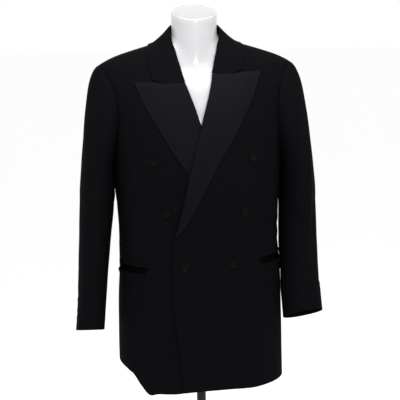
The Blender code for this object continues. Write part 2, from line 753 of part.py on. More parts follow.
def add_lapels():
    for side in (1, -1):
        outer, inner = [], []
        for row in range(LAPEL_ROWS + 1):
            down = row / LAPEL_ROWS
            eased = smooth((down - LAPEL_SKEW_HOLD) / (1.0 - LAPEL_SKEW_HOLD))
            skew = side * LAPEL_SKEW * (1.0 - eased)
            side_x, side_height = along_line(LAPEL_SIDE, down)
            side_height += skew
            roll_height = mix(LAPEL_TOP[0].height + side * LAPEL_SKEW, LAPEL_END, down)
            roll_x = roll_line_x(roll_height)
            outer_row, inner_row = [], []
            for column in range(LAPEL_COLUMNS + 1):
                across = column / LAPEL_COLUMNS
                x = mix(roll_x, side_x, across)
                height = mix(roll_height, side_height, across)
                top_x, top_height = lapel_outline_top(side, across)
                near_top = 1.0 - smooth(down / LAPEL_TOP_SHARE)
                x = mix(x, top_x, near_top)
                height = mix(height, top_height, near_top)
                rolled = roll_lift(abs(x - roll_line_x(height)))
                if side < 0:
                    rolled *= smooth((height - LAPEL_ROLL_CLEAR) / LAPEL_ROLL_FADE)
                lift = front_lift(side, x, height) + NEXT_LAYER + rolled
                turn = side * turn_at_x(x, height)
                outer_row.append(body_point(turn, height, lift))
                inner_row.append(body_point(turn, height, lift - CLOTH_WALL))
            outer.append(outer_row)
            inner.append(inner_row)
        add_wall(f"lapel_{SIDE_NAMES[side]}", outer, inner, SATIN_LOOK)


def grid_normals(grid, closed):
    """Normals of a grid of points, rows along a tube and columns round it."""
    rows, columns = len(grid), len(grid[0])
    normals = []
    for row in range(rows):
        row_normals = []
        for column in range(columns):
            if closed:
                ahead, behind = (column + 1) % columns, (column - 1) % columns
            else:
                ahead, behind = min(column + 1, columns - 1), max(column - 1, 0)
            around = grid[row][ahead] - grid[row][behind]
            along = grid[min(row + 1, rows - 1)][column] - grid[max(row - 1, 0)][column]
            normal = np.cross(around, along)
            row_normals.append(normal / np.linalg.norm(normal))
        normals.append(row_normals)
    return normals


def gorge_height(x):
    return float(np.interp(x, [point.x for point in LAPEL_TOP], [point.height for point in LAPEL_TOP]))


def collar_section(station, mirror, end_share, skew):
    """One section of the collar, from its base up over the fold and down to the free edge."""
    fold = np.array((station.fold_x, station.fold_y, station.fold_z))
    edge = np.array((station.edge_x, station.edge_y, station.edge_z))
    base = np.array((station.base_x, station.base_y, station.base_z))
    outward = edge - fold
    outward[2] = 0.0
    outward /= np.linalg.norm(outward)
    lifted = smooth((fold[2] - COLLAR_LIFT_START) / COLLAR_LIFT_FADE)
    radius = mix(COLLAR_CREST_RADIUS, COLLAR_FOLD_RADIUS, lifted)
    drop = np.array((0.0, 0.0, -radius * lifted))
    fold_in = fold - outward * radius + drop
    fold_out = fold + outward * radius + drop
    section = [base, mix(base, fold_in, COLLAR_STAND_SHARE), fold_in, fold]
    for column in range(COLLAR_FALL_COLUMNS + 1):
        share = column / COLLAR_FALL_COLUMNS
        point = mix(fold_out, edge, share)
        point[2] += COLLAR_BULGE * 4.0 * share * (1.0 - share) * lifted
        section.append(point)
    shaped = []
    for index, point in enumerate(section):
        point = point.copy()
        if end_share > 0.0:
            opening = SEAM_OPENING + NOTCH_OPENING * smooth((point[0] - NOTCH_START_X) / NOTCH_REACH)
            seam = gorge_height(point[0]) + opening
            point[2] = mix(point[2], seam, end_share)
        point[2] += skew
        if fold[2] < COLLAR_FREE_HEIGHT or index >= COLLAR_SEATED_POINT:
            rolled = roll_lift(abs(abs(point[0]) - front_edge_x(point[2])))
            lift = COLLAR_LAYER + rolled + overlap_lift(point[0], point[2]) * (mirror > 0)
            flat = body_point(turn_at_x(point[0], point[2]), point[2], lift)
            if index >= COLLAR_FOLD_POINT:
                point = clear_of_shell(point, COLLAR_LAYER)
            point = mix(flat, point, lifted)
        shaped.append(np.array((mirror * point[0], point[1], point[2])))
    return shaped


def add_collar():
    stations = []
    Keyed = namedtuple("Keyed", ("order",) + CollarStation._fields)
    keyed = [Keyed(index, *row) for index, row in enumerate(COLLAR_STATIONS)]
    last = len(keyed) - 1
    total = last * COLLAR_STEPS // 2
    for index in range(-total, total + 1):
        mirror = 1 if index >= 0 else -1
        order = abs(index) / total * last
        row = read_table(keyed, "order", order)
        end_share = max(order - (last - 1), 0.0) ** 2
        skew = mirror * LAPEL_SKEW * smooth((order - COLLAR_SKEW_START) / (last - COLLAR_SKEW_START))
        stations.append(collar_section(row, mirror, end_share, skew))
    normals = grid_normals(stations, closed=False)
    under = []
    # A section runs from the base to the edge and the sections run from right to left.
    for section, row in zip(stations, normals):
        under.append([point + normal * CLOTH_WALL for point, normal in zip(section, row)])
    add_wall("collar", stations, under, WOOL_LOOK)


def add_pocket_jets():
    reach = POCKET_MOUTH / 2 + JET_GAP
    for side in (1, -1):
        mouth = POCKET_HEIGHT[side]
        strips = {
            "upper": (mouth + reach, mouth + reach + JET_WIDTH),
            "lower": (mouth - reach - JET_WIDTH, mouth - reach),
        }
        for strip, (low, high) in strips.items():

            def place(share, height):
                start = turn_at_x(POCKET_FRONT_X + JET_START, height)
                turn = mix(start, POCKET_BACK_TURN, share)
                x = body_point(turn, height, 0.0)[0]
                return turn, height, front_lift(side, x, height) + JET_SEAT + JET_WALL

            name = f"pocket_jet_{strip}_{SIDE_NAMES[side]}"
            add_body_panel(name, side, [low, high], JET_COLUMNS, place, WOOL_LOOK, wall=JET_WALL)


def read_cap(turn):
    return read_table(CAP_PULLS, "turn", turn % 360.0)


def sleeve_ring_point(side, along, turn):
    rings = SLEEVE_RINGS[side]
    Keyed = namedtuple("Keyed", ("order",) + SleeveRing._fields)
    keyed = [Keyed(index, *row) for index, row in enumerate(rings)]
    ring = read_table(keyed, "order", along * (len(rings) - 1))
    pitch, lean, yaw = math.radians(ring.pitch), math.radians(ring.lean), math.radians(ring.yaw)
    wide = ring.half_width * math.cos(math.radians(turn))
    deep = ring.half_depth * math.sin(math.radians(turn))
    out = wide * math.cos(yaw) - deep * math.sin(yaw)
    forward = deep * math.cos(yaw) + wide * math.sin(yaw)
    x = ring.x + out * math.cos(lean)
    y = ring.y - forward * math.cos(pitch)
    z = ring.z + out * math.sin(lean) + forward * math.sin(pitch)
    return np.array((x, y, z))


def sleeve_cap_point(side, step, share):
    turn = 360.0 * step / ARMHOLE_STEPS
    seam = body_point(armhole_turn(step), armhole_height(step), 0.0)
    ring = sleeve_ring_point(side, 0.0, turn)
    pull = read_cap(turn)
    leave = np.array((pull.out, -pull.forward, pull.up))
    start = seam + leave / np.linalg.norm(leave) * SLEEVE_START_GAP
    first = start + leave
    second = ring + np.array((pull.ring_out, 0.0, pull.ring_rise))
    rest = 1.0 - share
    return (
        rest**3 * start
        + 3 * rest**2 * share * first
        + 3 * rest * share**2 * second
        + share**3 * ring
    )


def sleeve_fold_height(along, turn):
    total = 0.0
    for fold in SLEEVE_FOLDS:
        around = (turn - fold.turn + 180.0) % 360.0 - 180.0
        centre = fold.along + fold.slant * around
        total += fold.depth * bump(abs(along - centre), fold.half_length) * bump(abs(around), fold.half_turn)
    return total


def sleeve_grids(side):
    """The sleeve's outer and inner points, rows from the armhole to the cuff, all the way round."""
    outer, shares = [], []
    for share in CAP_STEPS:
        row = [sleeve_cap_point(side, step, share) for step in range(ARMHOLE_STEPS)]
        outer.append(row)
        shares.append(share * CAP_LENGTH / (CAP_LENGTH + ARM_LENGTH))
    for index in range(1, SLEEVE_RING_ROWS + 1):
        along = index / SLEEVE_RING_ROWS
        turns = [360.0 * step / ARMHOLE_STEPS for step in range(ARMHOLE_STEPS)]
        outer.append([sleeve_ring_point(side, along, turn) for turn in turns])
        shares.append((CAP_LENGTH + along * ARM_LENGTH) / (CAP_LENGTH + ARM_LENGTH))
    normals = grid_normals(outer, closed=True)
    for row in range(len(outer)):
        for step in range(ARMHOLE_STEPS):
            turn = 360.0 * step / ARMHOLE_STEPS
            fold = sleeve_fold_height(shares[row], turn)
            outer[row][step] = outer[row][step] + normals[row][step] * fold
    normals = grid_normals(outer, closed=True)
    inner = []
    for points, row in zip(outer, normals):
        inner.append([point - normal * CLOTH_WALL for point, normal in zip(points, row)])
    mirror = np.array((side, 1.0, 1.0))
    outer = [[point * mirror for point in row] for row in outer]
    inner = [[point * mirror for point in row] for row in inner]
    return outer, inner


def sleeve_strip(grid, first, last):
    """The columns of a sleeve between two seams, each end moved in by half of the seam's gap."""
    strip = []
    for row in grid:
        columns = [row[step % ARMHOLE_STEPS].copy() for step in range(first, last + 1)]
        for end, neighbour in ((0, 1), (-1, -2)):
            across = columns[neighbour] - columns[end]
            columns[end] = columns[end] + across / np.linalg.norm(across) * SEAM_HALF_GAP
        strip.append(columns)
    return strip


def add_sleeves():
    for side in (1, -1):
        outer, inner = sleeve_grids(side)
        spans = {
            "upper": (SLEEVE_BACK_SEAM - ARMHOLE_STEPS, SLEEVE_FRONT_SEAM),
            "under": (SLEEVE_FRONT_SEAM, SLEEVE_BACK_SEAM),
        }
        for part, (first, last) in spans.items():
            outer_strip = sleeve_strip(outer, first, last)
            inner_strip = sleeve_strip(inner, first, last)
            add_wall(f"sleeve_{part}_{SIDE_NAMES[side]}", outer_strip, inner_strip, WOOL_LOOK)


def add_turned(name, profile, sides, look, origin=(0.0, 0.0, 0.0), axis=(0.0, 0.0, 1.0)):
    """A round piece. The profile runs from the axis at the top, out and down to the axis below,
    or all round a ring."""
    axis = np.array(axis, float)
    axis /= np.linalg.norm(axis)
    helper = np.array((0.0, 0.0, 1.0)) if abs(axis[2]) < 0.9 else np.array((1.0, 0.0, 0.0))
    across = np.cross(helper, axis)
    across /= np.linalg.norm(across)
    up = np.cross(axis, across)
    points, rings, faces = [], [], []
    for radius, height in profile:
        if radius == 0.0:
            rings.append([len(points)] * sides)
            points.append(np.array(origin) + axis * height)
            continue
        rings.append([len(points) + index for index in range(sides)])
        for index in range(sides):
            angle = math.tau * index / sides
            spoke = across * math.cos(angle) + up * math.sin(angle)
            points.append(np.array(origin) + spoke * radius + axis * height)
    closed = profile[0][0] != 0.0
    pairs = list(zip(rings, rings[1:] + rings[:1])) if closed else list(zip(rings, rings[1:]))
    for upper, lower in pairs:
        for index in range(sides):
            ahead = (index + 1) % sides
            corners = []
            for corner in (upper[index], upper[ahead], lower[ahead], lower[index]):
                if corner not in corners:
                    corners.append(corner)
            faces.append(tuple(corners))
    return add_solid(name, points, faces, look, sharp_angle=35.0)


def add_button(name, place, normal, radius):
    thick = BUTTON_THICKNESS * radius
    profile = [(point.radius * radius, point.height * thick) for point in BUTTON_PROFILE]
    add_turned(name, profile, BUTTON_SIDES, BUTTON_LOOK, place, normal)


def add_front_buttons():
    for place in FRONT_BUTTONS:
        over = place.x > front_edge_x(place.height)

        def cloth(x, height):
            lift = overlap_lift(x, height) if over else 0.0
            return body_point(turn_at_x(x, height), height, lift)

        reach = FRONT_BUTTON_RADIUS
        seat = cloth(place.x, place.height)
        across = cloth(place.x + reach, place.height) - cloth(place.x - reach, place.height)
        up = cloth(place.x, place.height + reach) - cloth(place.x, place.height - reach)
        normal = np.cross(across, up)
        normal /= np.linalg.norm(normal)
        proud = 0.0
        for index in range(BUTTON_RIM_POINTS):
            angle = math.tau * index / BUTTON_RIM_POINTS
            x = place.x + reach * math.cos(angle)
            rim = cloth(x, place.height + reach * math.sin(angle))
            proud = max(proud, float(np.dot(rim - seat, normal)))
        add_button(place.name, seat + normal * (BUTTON_SEAT + proud), normal, reach)


def add_cuff_buttons():
    for side in (1, -1):
        length = SLEEVE_RINGS[side][-2].z - SLEEVE_RINGS[side][-1].z
        last_step = 1.0 / (len(SLEEVE_RINGS[side]) - 1)
        for index in range(CUFF_BUTTONS):
            above_cuff = CUFF_BUTTON_FIRST + index * CUFF_BUTTON_PITCH
            along = 1.0 - last_step * above_cuff / length
            mirror = np.array((side, 1.0, 1.0))
            seat = sleeve_ring_point(side, along, CUFF_BUTTON_TURN)
            around = sleeve_ring_point(side, along, CUFF_BUTTON_TURN + PROBE_TURN) - seat
            down = sleeve_ring_point(side, along + PROBE_ALONG, CUFF_BUTTON_TURN) - seat
            normal = np.cross(around, down)
            normal /= np.linalg.norm(normal)
            name = f"cuff_button_{index + 1}_{SIDE_NAMES[side]}"
            place = (seat + normal * BUTTON_SEAT) * mirror
            add_button(name, place, normal * mirror, CUFF_BUTTON_RADIUS)


def oval_radius(turn, half_width, front_depth, back_depth, squareness):
    depth = front_depth if math.cos(turn) > 0 else back_depth
    across = (abs(math.sin(turn)) / half_width) ** squareness
    through = (abs(math.cos(turn)) / depth) ** squareness
    return (across + through) ** (-1.0 / squareness)


def form_point(turn, height):
    """The form's surface: the shoulders and body of the cloth less its ease, joined to the neck."""
    ring = body_ring(height + FORM_DROP)
    ease = read_table(FORM_EASES, "height", height)
    angle = math.radians(turn)
    trunk = oval_radius(
        angle,
        ring.half_width - ease.side,
        ring.front_depth - ease.front,
        ring.back_depth - ease.back,
        mix(2.0, ring.squareness, FORM_SQUARENESS),
    )
    shift = ring.middle_y - NECK_MIDDLE_Y
    neck = oval_radius(
        angle,
        NECK_HALF_WIDTH,
        NECK_HALF_DEPTH + shift,
        NECK_HALF_DEPTH - shift,
        2.0,
    )
    neck_share = smooth((height - NECK_START) / NECK_FADE)
    radius = (trunk**NECK_MERGE + (neck * neck_share) ** NECK_MERGE) ** (1.0 / NECK_MERGE)
    return np.array((radius * math.sin(angle), ring.middle_y - radius * math.cos(angle), height))


def neck_ring(height, scale, tilt_share):
    ring = []
    for index in range(FORM_COLUMNS):
        angle = math.tau * index / FORM_COLUMNS
        x = NECK_HALF_WIDTH * scale * math.sin(angle)
        y = -NECK_HALF_DEPTH * scale * math.cos(angle)
        ring.append(np.array((x, NECK_MIDDLE_Y + y, height + tilt_share * math.tan(NECK_TILT) * y)))
    return ring


def add_form():
    rings = []
    for height in FORM_HEIGHTS:
        ring = [form_point(360.0 * index / FORM_COLUMNS, height) for index in range(FORM_COLUMNS)]
        if height == FORM_HEIGHTS[0]:
            middle = np.mean(ring, axis=0)
            ring = [middle + (point - middle) * FORM_BOTTOM_ROUNDING for point in ring]
        rings.append(ring)
    middle_height = mix(FORM_HEIGHTS[-1], NECK_TOP, NECK_MIDDLE_ROW)
    rings.append(neck_ring(middle_height, 1.0, NECK_MIDDLE_TILT))
    rings.append(neck_ring(NECK_TOP - NECK_RIM, 1.0, 1.0))
    rings.append(neck_ring(NECK_TOP, 1.0 - NECK_RIM / NECK_HALF_WIDTH, 1.0))
    points = [point for ring in rings for point in ring]
    faces = []
    for row in range(len(rings) - 1):
        for column in range(FORM_COLUMNS):
            ahead = (column + 1) % FORM_COLUMNS
            low, high = row * FORM_COLUMNS, (row + 1) * FORM_COLUMNS
            faces.append((low + column, low + ahead, high + ahead))
            faces.append((low + column, high + ahead, high + column))
    faces.append(tuple(range(FORM_COLUMNS)))
    top = (len(rings) - 1) * FORM_COLUMNS
    faces.append(tuple(range(top, top + FORM_COLUMNS)))
    add_solid("torso_form", points, faces, FORM_LOOK, sharp_angle=40.0)


def add_stand():
    plate = (
        (0.0, BASE_THICKNESS),
        (BASE_RADIUS - BASE_EDGE, BASE_THICKNESS),
        (BASE_RADIUS, BASE_THICKNESS - BASE_EDGE),
        (BASE_RADIUS, 0.0),
        (0.0, 0.0),
    )
    add_turned("base_plate", plate, ROUND_SIDES, STAND_LOOK)
    bottom = BASE_THICKNESS + CONTACT_GAP
    socket = (
        (POLE_RADIUS + POLE_PLAY, bottom + SOCKET_HEIGHT),
        (SOCKET_RADIUS - SOCKET_CHAMFER, bottom + SOCKET_HEIGHT),
        (SOCKET_RADIUS, bottom + SOCKET_HEIGHT - SOCKET_CHAMFER),
        (SOCKET_RADIUS, bottom + SOCKET_FLARE),
        (SOCKET_RADIUS + SOCKET_FLARE, bottom),
        (POLE_RADIUS + POLE_PLAY, bottom),
    )
    add_turned("base_socket", socket, ROUND_SIDES // 2, STAND_LOOK)
    pole = (
        (0.0, FORM_BOTTOM - CONTACT_GAP),
        (POLE_RADIUS, FORM_BOTTOM - CONTACT_GAP),
        (POLE_RADIUS, bottom),
        (0.0, bottom),
    )
    add_turned("pole", pole, ROUND_SIDES // 2, STAND_LOOK)


def main():
    for old in list(bpy.data.objects):
        bpy.data.objects.remove(old, do_unlink=True)
    add_fronts()
    add_side_panels()
    add_backs()
    add_lapels()
    add_collar()
    add_pocket_jets()
    add_sleeves()
    add_front_buttons()
    add_cuff_buttons()
    add_form()
    add_stand()


main()
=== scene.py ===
# Double-breasted evening blazer on a torso form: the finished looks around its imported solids.
# Metres, +Z up. The blazer faces -Y, so the wearer's left is +X.

import math

import bmesh
import bpy
import numpy as np
from mathutils import Matrix, Vector
from mathutils.bvhtree import BVHTree


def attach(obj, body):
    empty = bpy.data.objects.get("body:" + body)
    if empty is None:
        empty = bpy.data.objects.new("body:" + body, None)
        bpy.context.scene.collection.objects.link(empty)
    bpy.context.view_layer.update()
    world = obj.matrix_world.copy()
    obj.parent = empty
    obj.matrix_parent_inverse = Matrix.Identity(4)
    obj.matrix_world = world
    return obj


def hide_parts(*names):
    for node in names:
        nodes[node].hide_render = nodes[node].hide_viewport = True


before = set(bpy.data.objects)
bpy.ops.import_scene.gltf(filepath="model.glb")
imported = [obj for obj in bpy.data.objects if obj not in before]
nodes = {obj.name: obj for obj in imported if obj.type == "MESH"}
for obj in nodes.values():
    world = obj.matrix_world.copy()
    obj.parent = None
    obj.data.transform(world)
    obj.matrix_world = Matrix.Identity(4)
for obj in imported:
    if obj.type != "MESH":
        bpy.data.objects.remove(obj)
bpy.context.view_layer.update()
bpy.context.scene.view_settings.view_transform = "Standard"
coarser = 1.0
sideOf = {"left": 1, "right": -1}
weldDistance = 0.00002
tiny = 1e-12
print("frame loaded with", len(nodes), "nodes")


# Helpers that several pieces share
def weldedMesh(name):
    mesh = bmesh.new()
    mesh.from_mesh(nodes[name].data)
    bmesh.ops.remove_doubles(mesh, verts=mesh.verts, dist=weldDistance)
    return mesh


def addObject(name, data):
    piece = bpy.data.objects.new(name, data)
    bpy.context.scene.collection.objects.link(piece)
    return piece


def selectOnly(*pieces):
    bpy.ops.object.select_all(action="DESELECT")
    for piece in pieces:
        piece.select_set(True)
    bpy.context.view_layer.objects.active = pieces[0]


def unit(vectors):
    return vectors / np.maximum(np.linalg.norm(vectors, axis=-1, keepdims=True), tiny)


# Reading a cloth wall back into rows and columns. Its two skins are triangulated grids: six
# triangles meet at a vertex, five at a corner that a diagonal runs into, and four at the others.
meeting = {"line": 6, "diagonalCorner": 5, "plainCorner": 4}
fewestPoints = 3
longestLine = 200


def readSkin(name, outerScore, fewest=fewestPoints):
    mesh = weldedMesh(name)
    ring = {vert: {} for vert in mesh.verts}
    for face in mesh.faces:
        a, b, c = face.verts
        ring[a][b], ring[b][c], ring[c][a] = c, a, b
    grids = []
    for corner in mesh.verts:
        if len(ring[corner]) != meeting["diagonalCorner"]:
            continue
        for across in ring[corner]:
            up = ring[corner][ring[corner][across]]
            row, column = straightLine(ring, corner, across), straightLine(ring, corner, up)
            shorter, longer = sorted((len(row), len(column)))
            ends = {len(ring[row[-1]]), len(ring[column[-1]])}
            if shorter >= fewest and longer >= fewestPoints and ends == {meeting["plainCorner"]}:
                grids.append(followRows(ring, row, column))
    best = max(filter(len, grids), key=lambda grid: outerScore(grid.reshape(-1, 3)))
    mesh.free()
    return best


def straightLine(ring, start, following):
    # On across every vertex where six triangles meet, as far as a corner.
    line = [start, following]
    while len(ring[line[-1]]) == meeting["line"] and len(line) < longestLine:
        here, ahead = line[-1], line[-2]
        for _ in range(meeting["line"] // 2):  # half way round lies straight on
            ahead = ring[here][ahead]
        line.append(ahead)
    return line


def followRows(ring, row, column):
    # Row after row, or nothing where the two lines don't bound one skin.
    rows = [row]
    for first in column[1:]:
        below = rows[-1]
        if any(after not in ring[vert] for vert, after in zip(below, below[1:])):
            return np.empty(0)
        rows.append([first, *(ring[vert][after] for vert, after in zip(below, below[1:]))])
    distinct = {vert for line in rows for vert in line}
    cornerMeeting = len(ring[rows[-1][-1]])
    if len(distinct) < len(rows) * len(row) or cornerMeeting != meeting["diagonalCorner"]:
        return np.empty(0)
    return np.array([[vert.co[:] for vert in line] for line in rows])


def quarterTurn(grid):
    # Rows become columns, and the grid still faces outwards.
    return grid.transpose(1, 0, 2)[:, ::-1]


def heightGain(steps):
    return np.abs(steps[..., 2]).mean() / np.linalg.norm(steps, axis=-1).mean()


def uprightGrid(name, outerScore):
    # Rows run up and columns run to the right, seen from outside.
    grid = readSkin(name, outerScore)
    if heightGain(grid[:, 1:] - grid[:, :-1]) > heightGain(grid[1:] - grid[:-1]):
        grid = quarterTurn(grid)
    if grid[-1, :, 2].mean() < grid[0, :, 2].mean():
        grid = grid[::-1, ::-1]
    return grid


def fromMiddle(points):
    return np.hypot(points[:, 0], points[:, 1]).mean()


# Fine grids: a smooth curve through the solid's own points, with closer lines at the edges.
edgeSteps = (0.0004, 0.0010, 0.0018, 0.0030, 0.0048)
evenFrom = 1.6  # where the even lines begin, in last edge steps
leastGap = 0.0003


def splineWeights(places, count):
    # Catmull-Rom weights: the curve passes through every point.
    weights = np.zeros((len(places), count))
    for row, place in enumerate(places):
        index = min(int(place), count - 2)
        t = place - index
        values = [
            -0.5 * t + t * t - 0.5 * t**3,
            1.0 - 2.5 * t * t + 1.5 * t**3,
            0.5 * t + 2.0 * t * t - 1.5 * t**3,
            -0.5 * t * t + 0.5 * t**3,
        ]
        if index == 0:  # the missing neighbour lies straight on
            values = [0.0, values[1] + 2.0 * values[0], values[2] - values[0], values[3]]
        if index == count - 2:
            values = [values[0], values[1] - values[3], values[2] + 2.0 * values[3], 0.0]
        for offset, value in zip((-1, 0, 1, 2), values):
            if value:
                weights[row, index + offset] += value
    return weights


def spreadPlaces(points, spacing, steps, close=None):
    # close is a height, a half width and a spacing where the lines lie closer.
    lengths = np.linalg.norm(points[1:] - points[:-1], axis=2).mean(axis=1)
    reach = np.concatenate(([0.0], np.cumsum(lengths)))
    total, last = reach[-1], steps[-1] * evenFrom
    wanted = [*steps, *(total - step for step in steps)]
    wanted += list(np.linspace(last, total - last, max(int((total - 2 * last) / spacing), 2) + 1))
    if close:
        height, half, gap = close
        middle = np.interp(height, points[..., 2].mean(axis=1), reach)
        wanted = [place for place in wanted if abs(place - middle) > half]
        wanted += list(np.arange(middle - half, middle + half, gap))
    kept = [0.0]
    for place in sorted(wanted):
        if place - kept[-1] > leastGap and total - place > leastGap:
            kept.append(place)
    return np.interp([*kept, total], reach, np.arange(len(reach)))


def refine(points, spacing, steps=edgeSteps, close=None):
    rows = splineWeights(spreadPlaces(points, spacing * coarser, steps, close), points.shape[0])
    across = points.transpose(1, 0, 2)
    columns = splineWeights(spreadPlaces(across, spacing * coarser, steps), points.shape[1])
    return np.einsum("ri,ijk,cj->rck", rows, points, columns)


def gridNormals(grid):
    return unit(np.cross(np.gradient(grid, axis=1), np.gradient(grid, axis=0)))


def raiseBy(grid, lift):
    return grid + gridNormals(grid) * lift[..., None]


def edgeDistances(grid):
    # Distance from each of the four edges, along the cloth.
    down = np.cumsum(np.linalg.norm(np.diff(grid, axis=0), axis=2), axis=0)
    across = np.cumsum(np.linalg.norm(np.diff(grid, axis=1), axis=2), axis=1)
    fromFirst = np.vstack([np.zeros((1, grid.shape[1])), down])
    fromNear = np.hstack([np.zeros((grid.shape[0], 1)), across])
    return {
        "first": fromFirst,
        "last": fromFirst[-1:] - fromFirst,
        "near": fromNear,
        "far": fromNear[:, -1:] - fromNear,
    }


def softStep(values, low, high):
    t = np.clip((values - low) / (high - low), 0.0, 1.0)
    return t * t * (3.0 - 2.0 * t)


# Creases, a row for each: the start, middle and end of a bent line, its width, its
# depth, positive for a ridge, and where it isn't the usual one, its lean: how much the cloth on one
# side of the line goes the other way.
creaseShape = {
    "samples": 19,
    "margin": 4.5,  # in widths, and so are the next three
    "endWidth": 0.65,
    "dipPlace": 1.5,
    "dipWidth": 1.1,
    "endPower": 0.8,
    "lean": 0.4,
}


def creaseField(across, up, creases, period):
    total = np.zeros(across.shape)
    for start, middle, end, width, depth, *own in creases:
        lean = own[0] if own else creaseShape["lean"]
        start, middle, end = np.array((start, middle, end))
        bend = 2.0 * middle - (start + end) / 2.0
        t = np.linspace(0.0, 1.0, creaseShape["samples"])[:, None]
        line = (1 - t) ** 2 * start + 2 * t * (1 - t) * bend + t * t * end
        margin = creaseShape["margin"] * width
        low, high = line.min(axis=0) - margin, line.max(axis=0) + margin
        for shift in (-period, 0.0, period):
            beside = across + shift
            near = (beside > low[0]) & (beside < high[0]) & (up > low[1]) & (up < high[1])
            if near.any():
                profile = creaseProfile(beside[near], up[near], line, width, lean)
                total[near] += depth * profile
    return total


def creaseProfile(across, up, line, width, lean):
    best = np.full(across.shape, np.inf)
    share, signed = np.zeros(across.shape), np.zeros(across.shape)
    for index, (a, b) in enumerate(zip(line, line[1:])):
        along = b - a
        px, py = across - a[0], up - a[1]
        s = np.clip((px * along[0] + py * along[1]) / float(along @ along), 0.0, 1.0)
        distance = np.hypot(px - s * along[0], py - s * along[1])
        closer = distance < best
        best = np.where(closer, distance, best)
        share = np.where(closer, (index + s) / (len(line) - 1), share)
        signed = np.where(closer, np.sign(along[0] * py - along[1] * px) * distance, signed)
    arch = np.sin(math.pi * np.clip(share, 0.0, 1.0))
    least = creaseShape["endWidth"]
    place = signed / (width * (least + (1.0 - least) * arch))
    dip = np.exp(-(((place - creaseShape["dipPlace"]) / creaseShape["dipWidth"]) ** 2))
    return (np.exp(-(place**2)) - lean * dip) * arch ** creaseShape["endPower"]


# Body: across is measured round it from the middle of the front, up is the height. The waves
# are a slow unevenness all over it, in radians a metre.
bodyRound = 0.192
bodyWaves = {"depth": 0.00035, "across": 41.0, "slant": 17.0, "up": 33.0, "start": 0.7}
bodyCreases = [
    # drag lines to the fastened button
    ((-0.075, 1.000), (-0.118, 0.975), (-0.190, 0.962), 0.010, -0.0013),
    ((-0.062, 0.958), (-0.085, 0.938), (-0.128, 0.905), 0.009, -0.0011),
    ((0.030, 0.960), (0.085, 0.985), (0.150, 1.000), 0.012, -0.0012),
    ((-0.030, 0.985), (0.030, 1.010), (0.085, 1.050), 0.013, -0.0010),
    ((-0.020, 0.930), (0.040, 0.905), (0.105, 0.895), 0.012, -0.0009),
    # waist and sides
    ((-0.215, 1.060), (-0.235, 1.030), (-0.290, 1.018), 0.011, -0.0016),
    ((-0.205, 1.012), (-0.250, 0.985), (-0.315, 0.992), 0.013, -0.0018),
    ((0.200, 1.050), (0.240, 1.018), (0.300, 1.020), 0.012, -0.0017),
    ((0.215, 0.998), (0.262, 0.975), (0.330, 0.985), 0.014, -0.0016),
    # fullness where the sleeves press against the body
    ((-0.300, 1.240), (-0.300, 1.160), (-0.296, 1.078), 0.024, 0.0032, 0.0),
    ((0.296, 1.010), (0.300, 0.900), (0.296, 0.790), 0.026, 0.0036, 0.0),
    # long soft folds of the skirt
    ((0.160, 0.900), (0.152, 0.800), (0.165, 0.680), 0.016, 0.0019),
    ((0.075, 0.885), (0.064, 0.780), (0.080, 0.660), 0.019, 0.0012),
    ((-0.140, 0.905), (-0.152, 0.800), (-0.140, 0.690), 0.015, 0.0018),
    ((-0.088, 0.850), (-0.100, 0.760), (-0.092, 0.650), 0.018, -0.0010),
    ((-0.215, 0.900), (-0.222, 0.800), (-0.230, 0.720), 0.014, 0.0014),
    ((0.228, 0.890), (0.235, 0.790), (0.240, 0.690), 0.014, 0.0015),
    # chest, down from the armholes
    ((-0.212, 1.330), (-0.196, 1.240), (-0.172, 1.130), 0.014, -0.0028),
    ((-0.182, 1.290), (-0.166, 1.210), (-0.158, 1.150), 0.012, -0.0012),
    ((0.216, 1.340), (0.202, 1.240), (0.178, 1.120), 0.014, -0.0028),
    ((0.190, 1.300), (0.176, 1.200), (0.160, 1.120), 0.012, 0.0011),
    ((0.130, 1.180), (0.118, 1.120), (0.122, 1.060), 0.015, -0.0009),
    ((-0.122, 1.160), (-0.112, 1.110), (-0.118, 1.050), 0.014, -0.0009),
    # shoulders
    ((-0.190, 1.405), (-0.160, 1.395), (-0.125, 1.400), 0.011, -0.0007),
    ((0.195, 1.405), (0.165, 1.392), (0.128, 1.398), 0.011, -0.0008),
    # back: below the collar, blades, waist and seat
    ((0.560, 1.418), (0.603, 1.404), (0.645, 1.420), 0.012, 0.0014),
    ((0.395, 1.300), (0.430, 1.180), (0.442, 1.060), 0.016, 0.0026),
    ((0.420, 1.240), (0.462, 1.150), (0.470, 1.080), 0.013, -0.0015),
    ((-0.398, 1.310), (-0.428, 1.190), (-0.440, 1.050), 0.016, 0.0026),
    ((-0.424, 1.230), (-0.458, 1.150), (-0.472, 1.070), 0.013, -0.0014),
    ((0.470, 1.028), (0.560, 1.008), (0.660, 1.020), 0.012, -0.0018),
    ((0.500, 0.990), (0.590, 0.976), (0.680, 0.992), 0.014, -0.0014),
    ((0.430, 1.060), (0.480, 1.040), (0.540, 1.046), 0.010, -0.0011),
    ((-0.430, 1.055), (-0.490, 1.030), (-0.545, 1.040), 0.011, -0.0013),
    ((0.480, 0.900), (0.500, 0.800), (0.492, 0.680), 0.018, 0.0018),
    ((-0.480, 0.890), (-0.505, 0.790), (-0.498, 0.680), 0.018, 0.0019),
    ((0.400, 0.880), (0.392, 0.790), (0.400, 0.690), 0.015, 0.0016),
    ((-0.404, 0.885), (-0.398, 0.800), (-0.408, 0.700), 0.015, 0.0015),
]

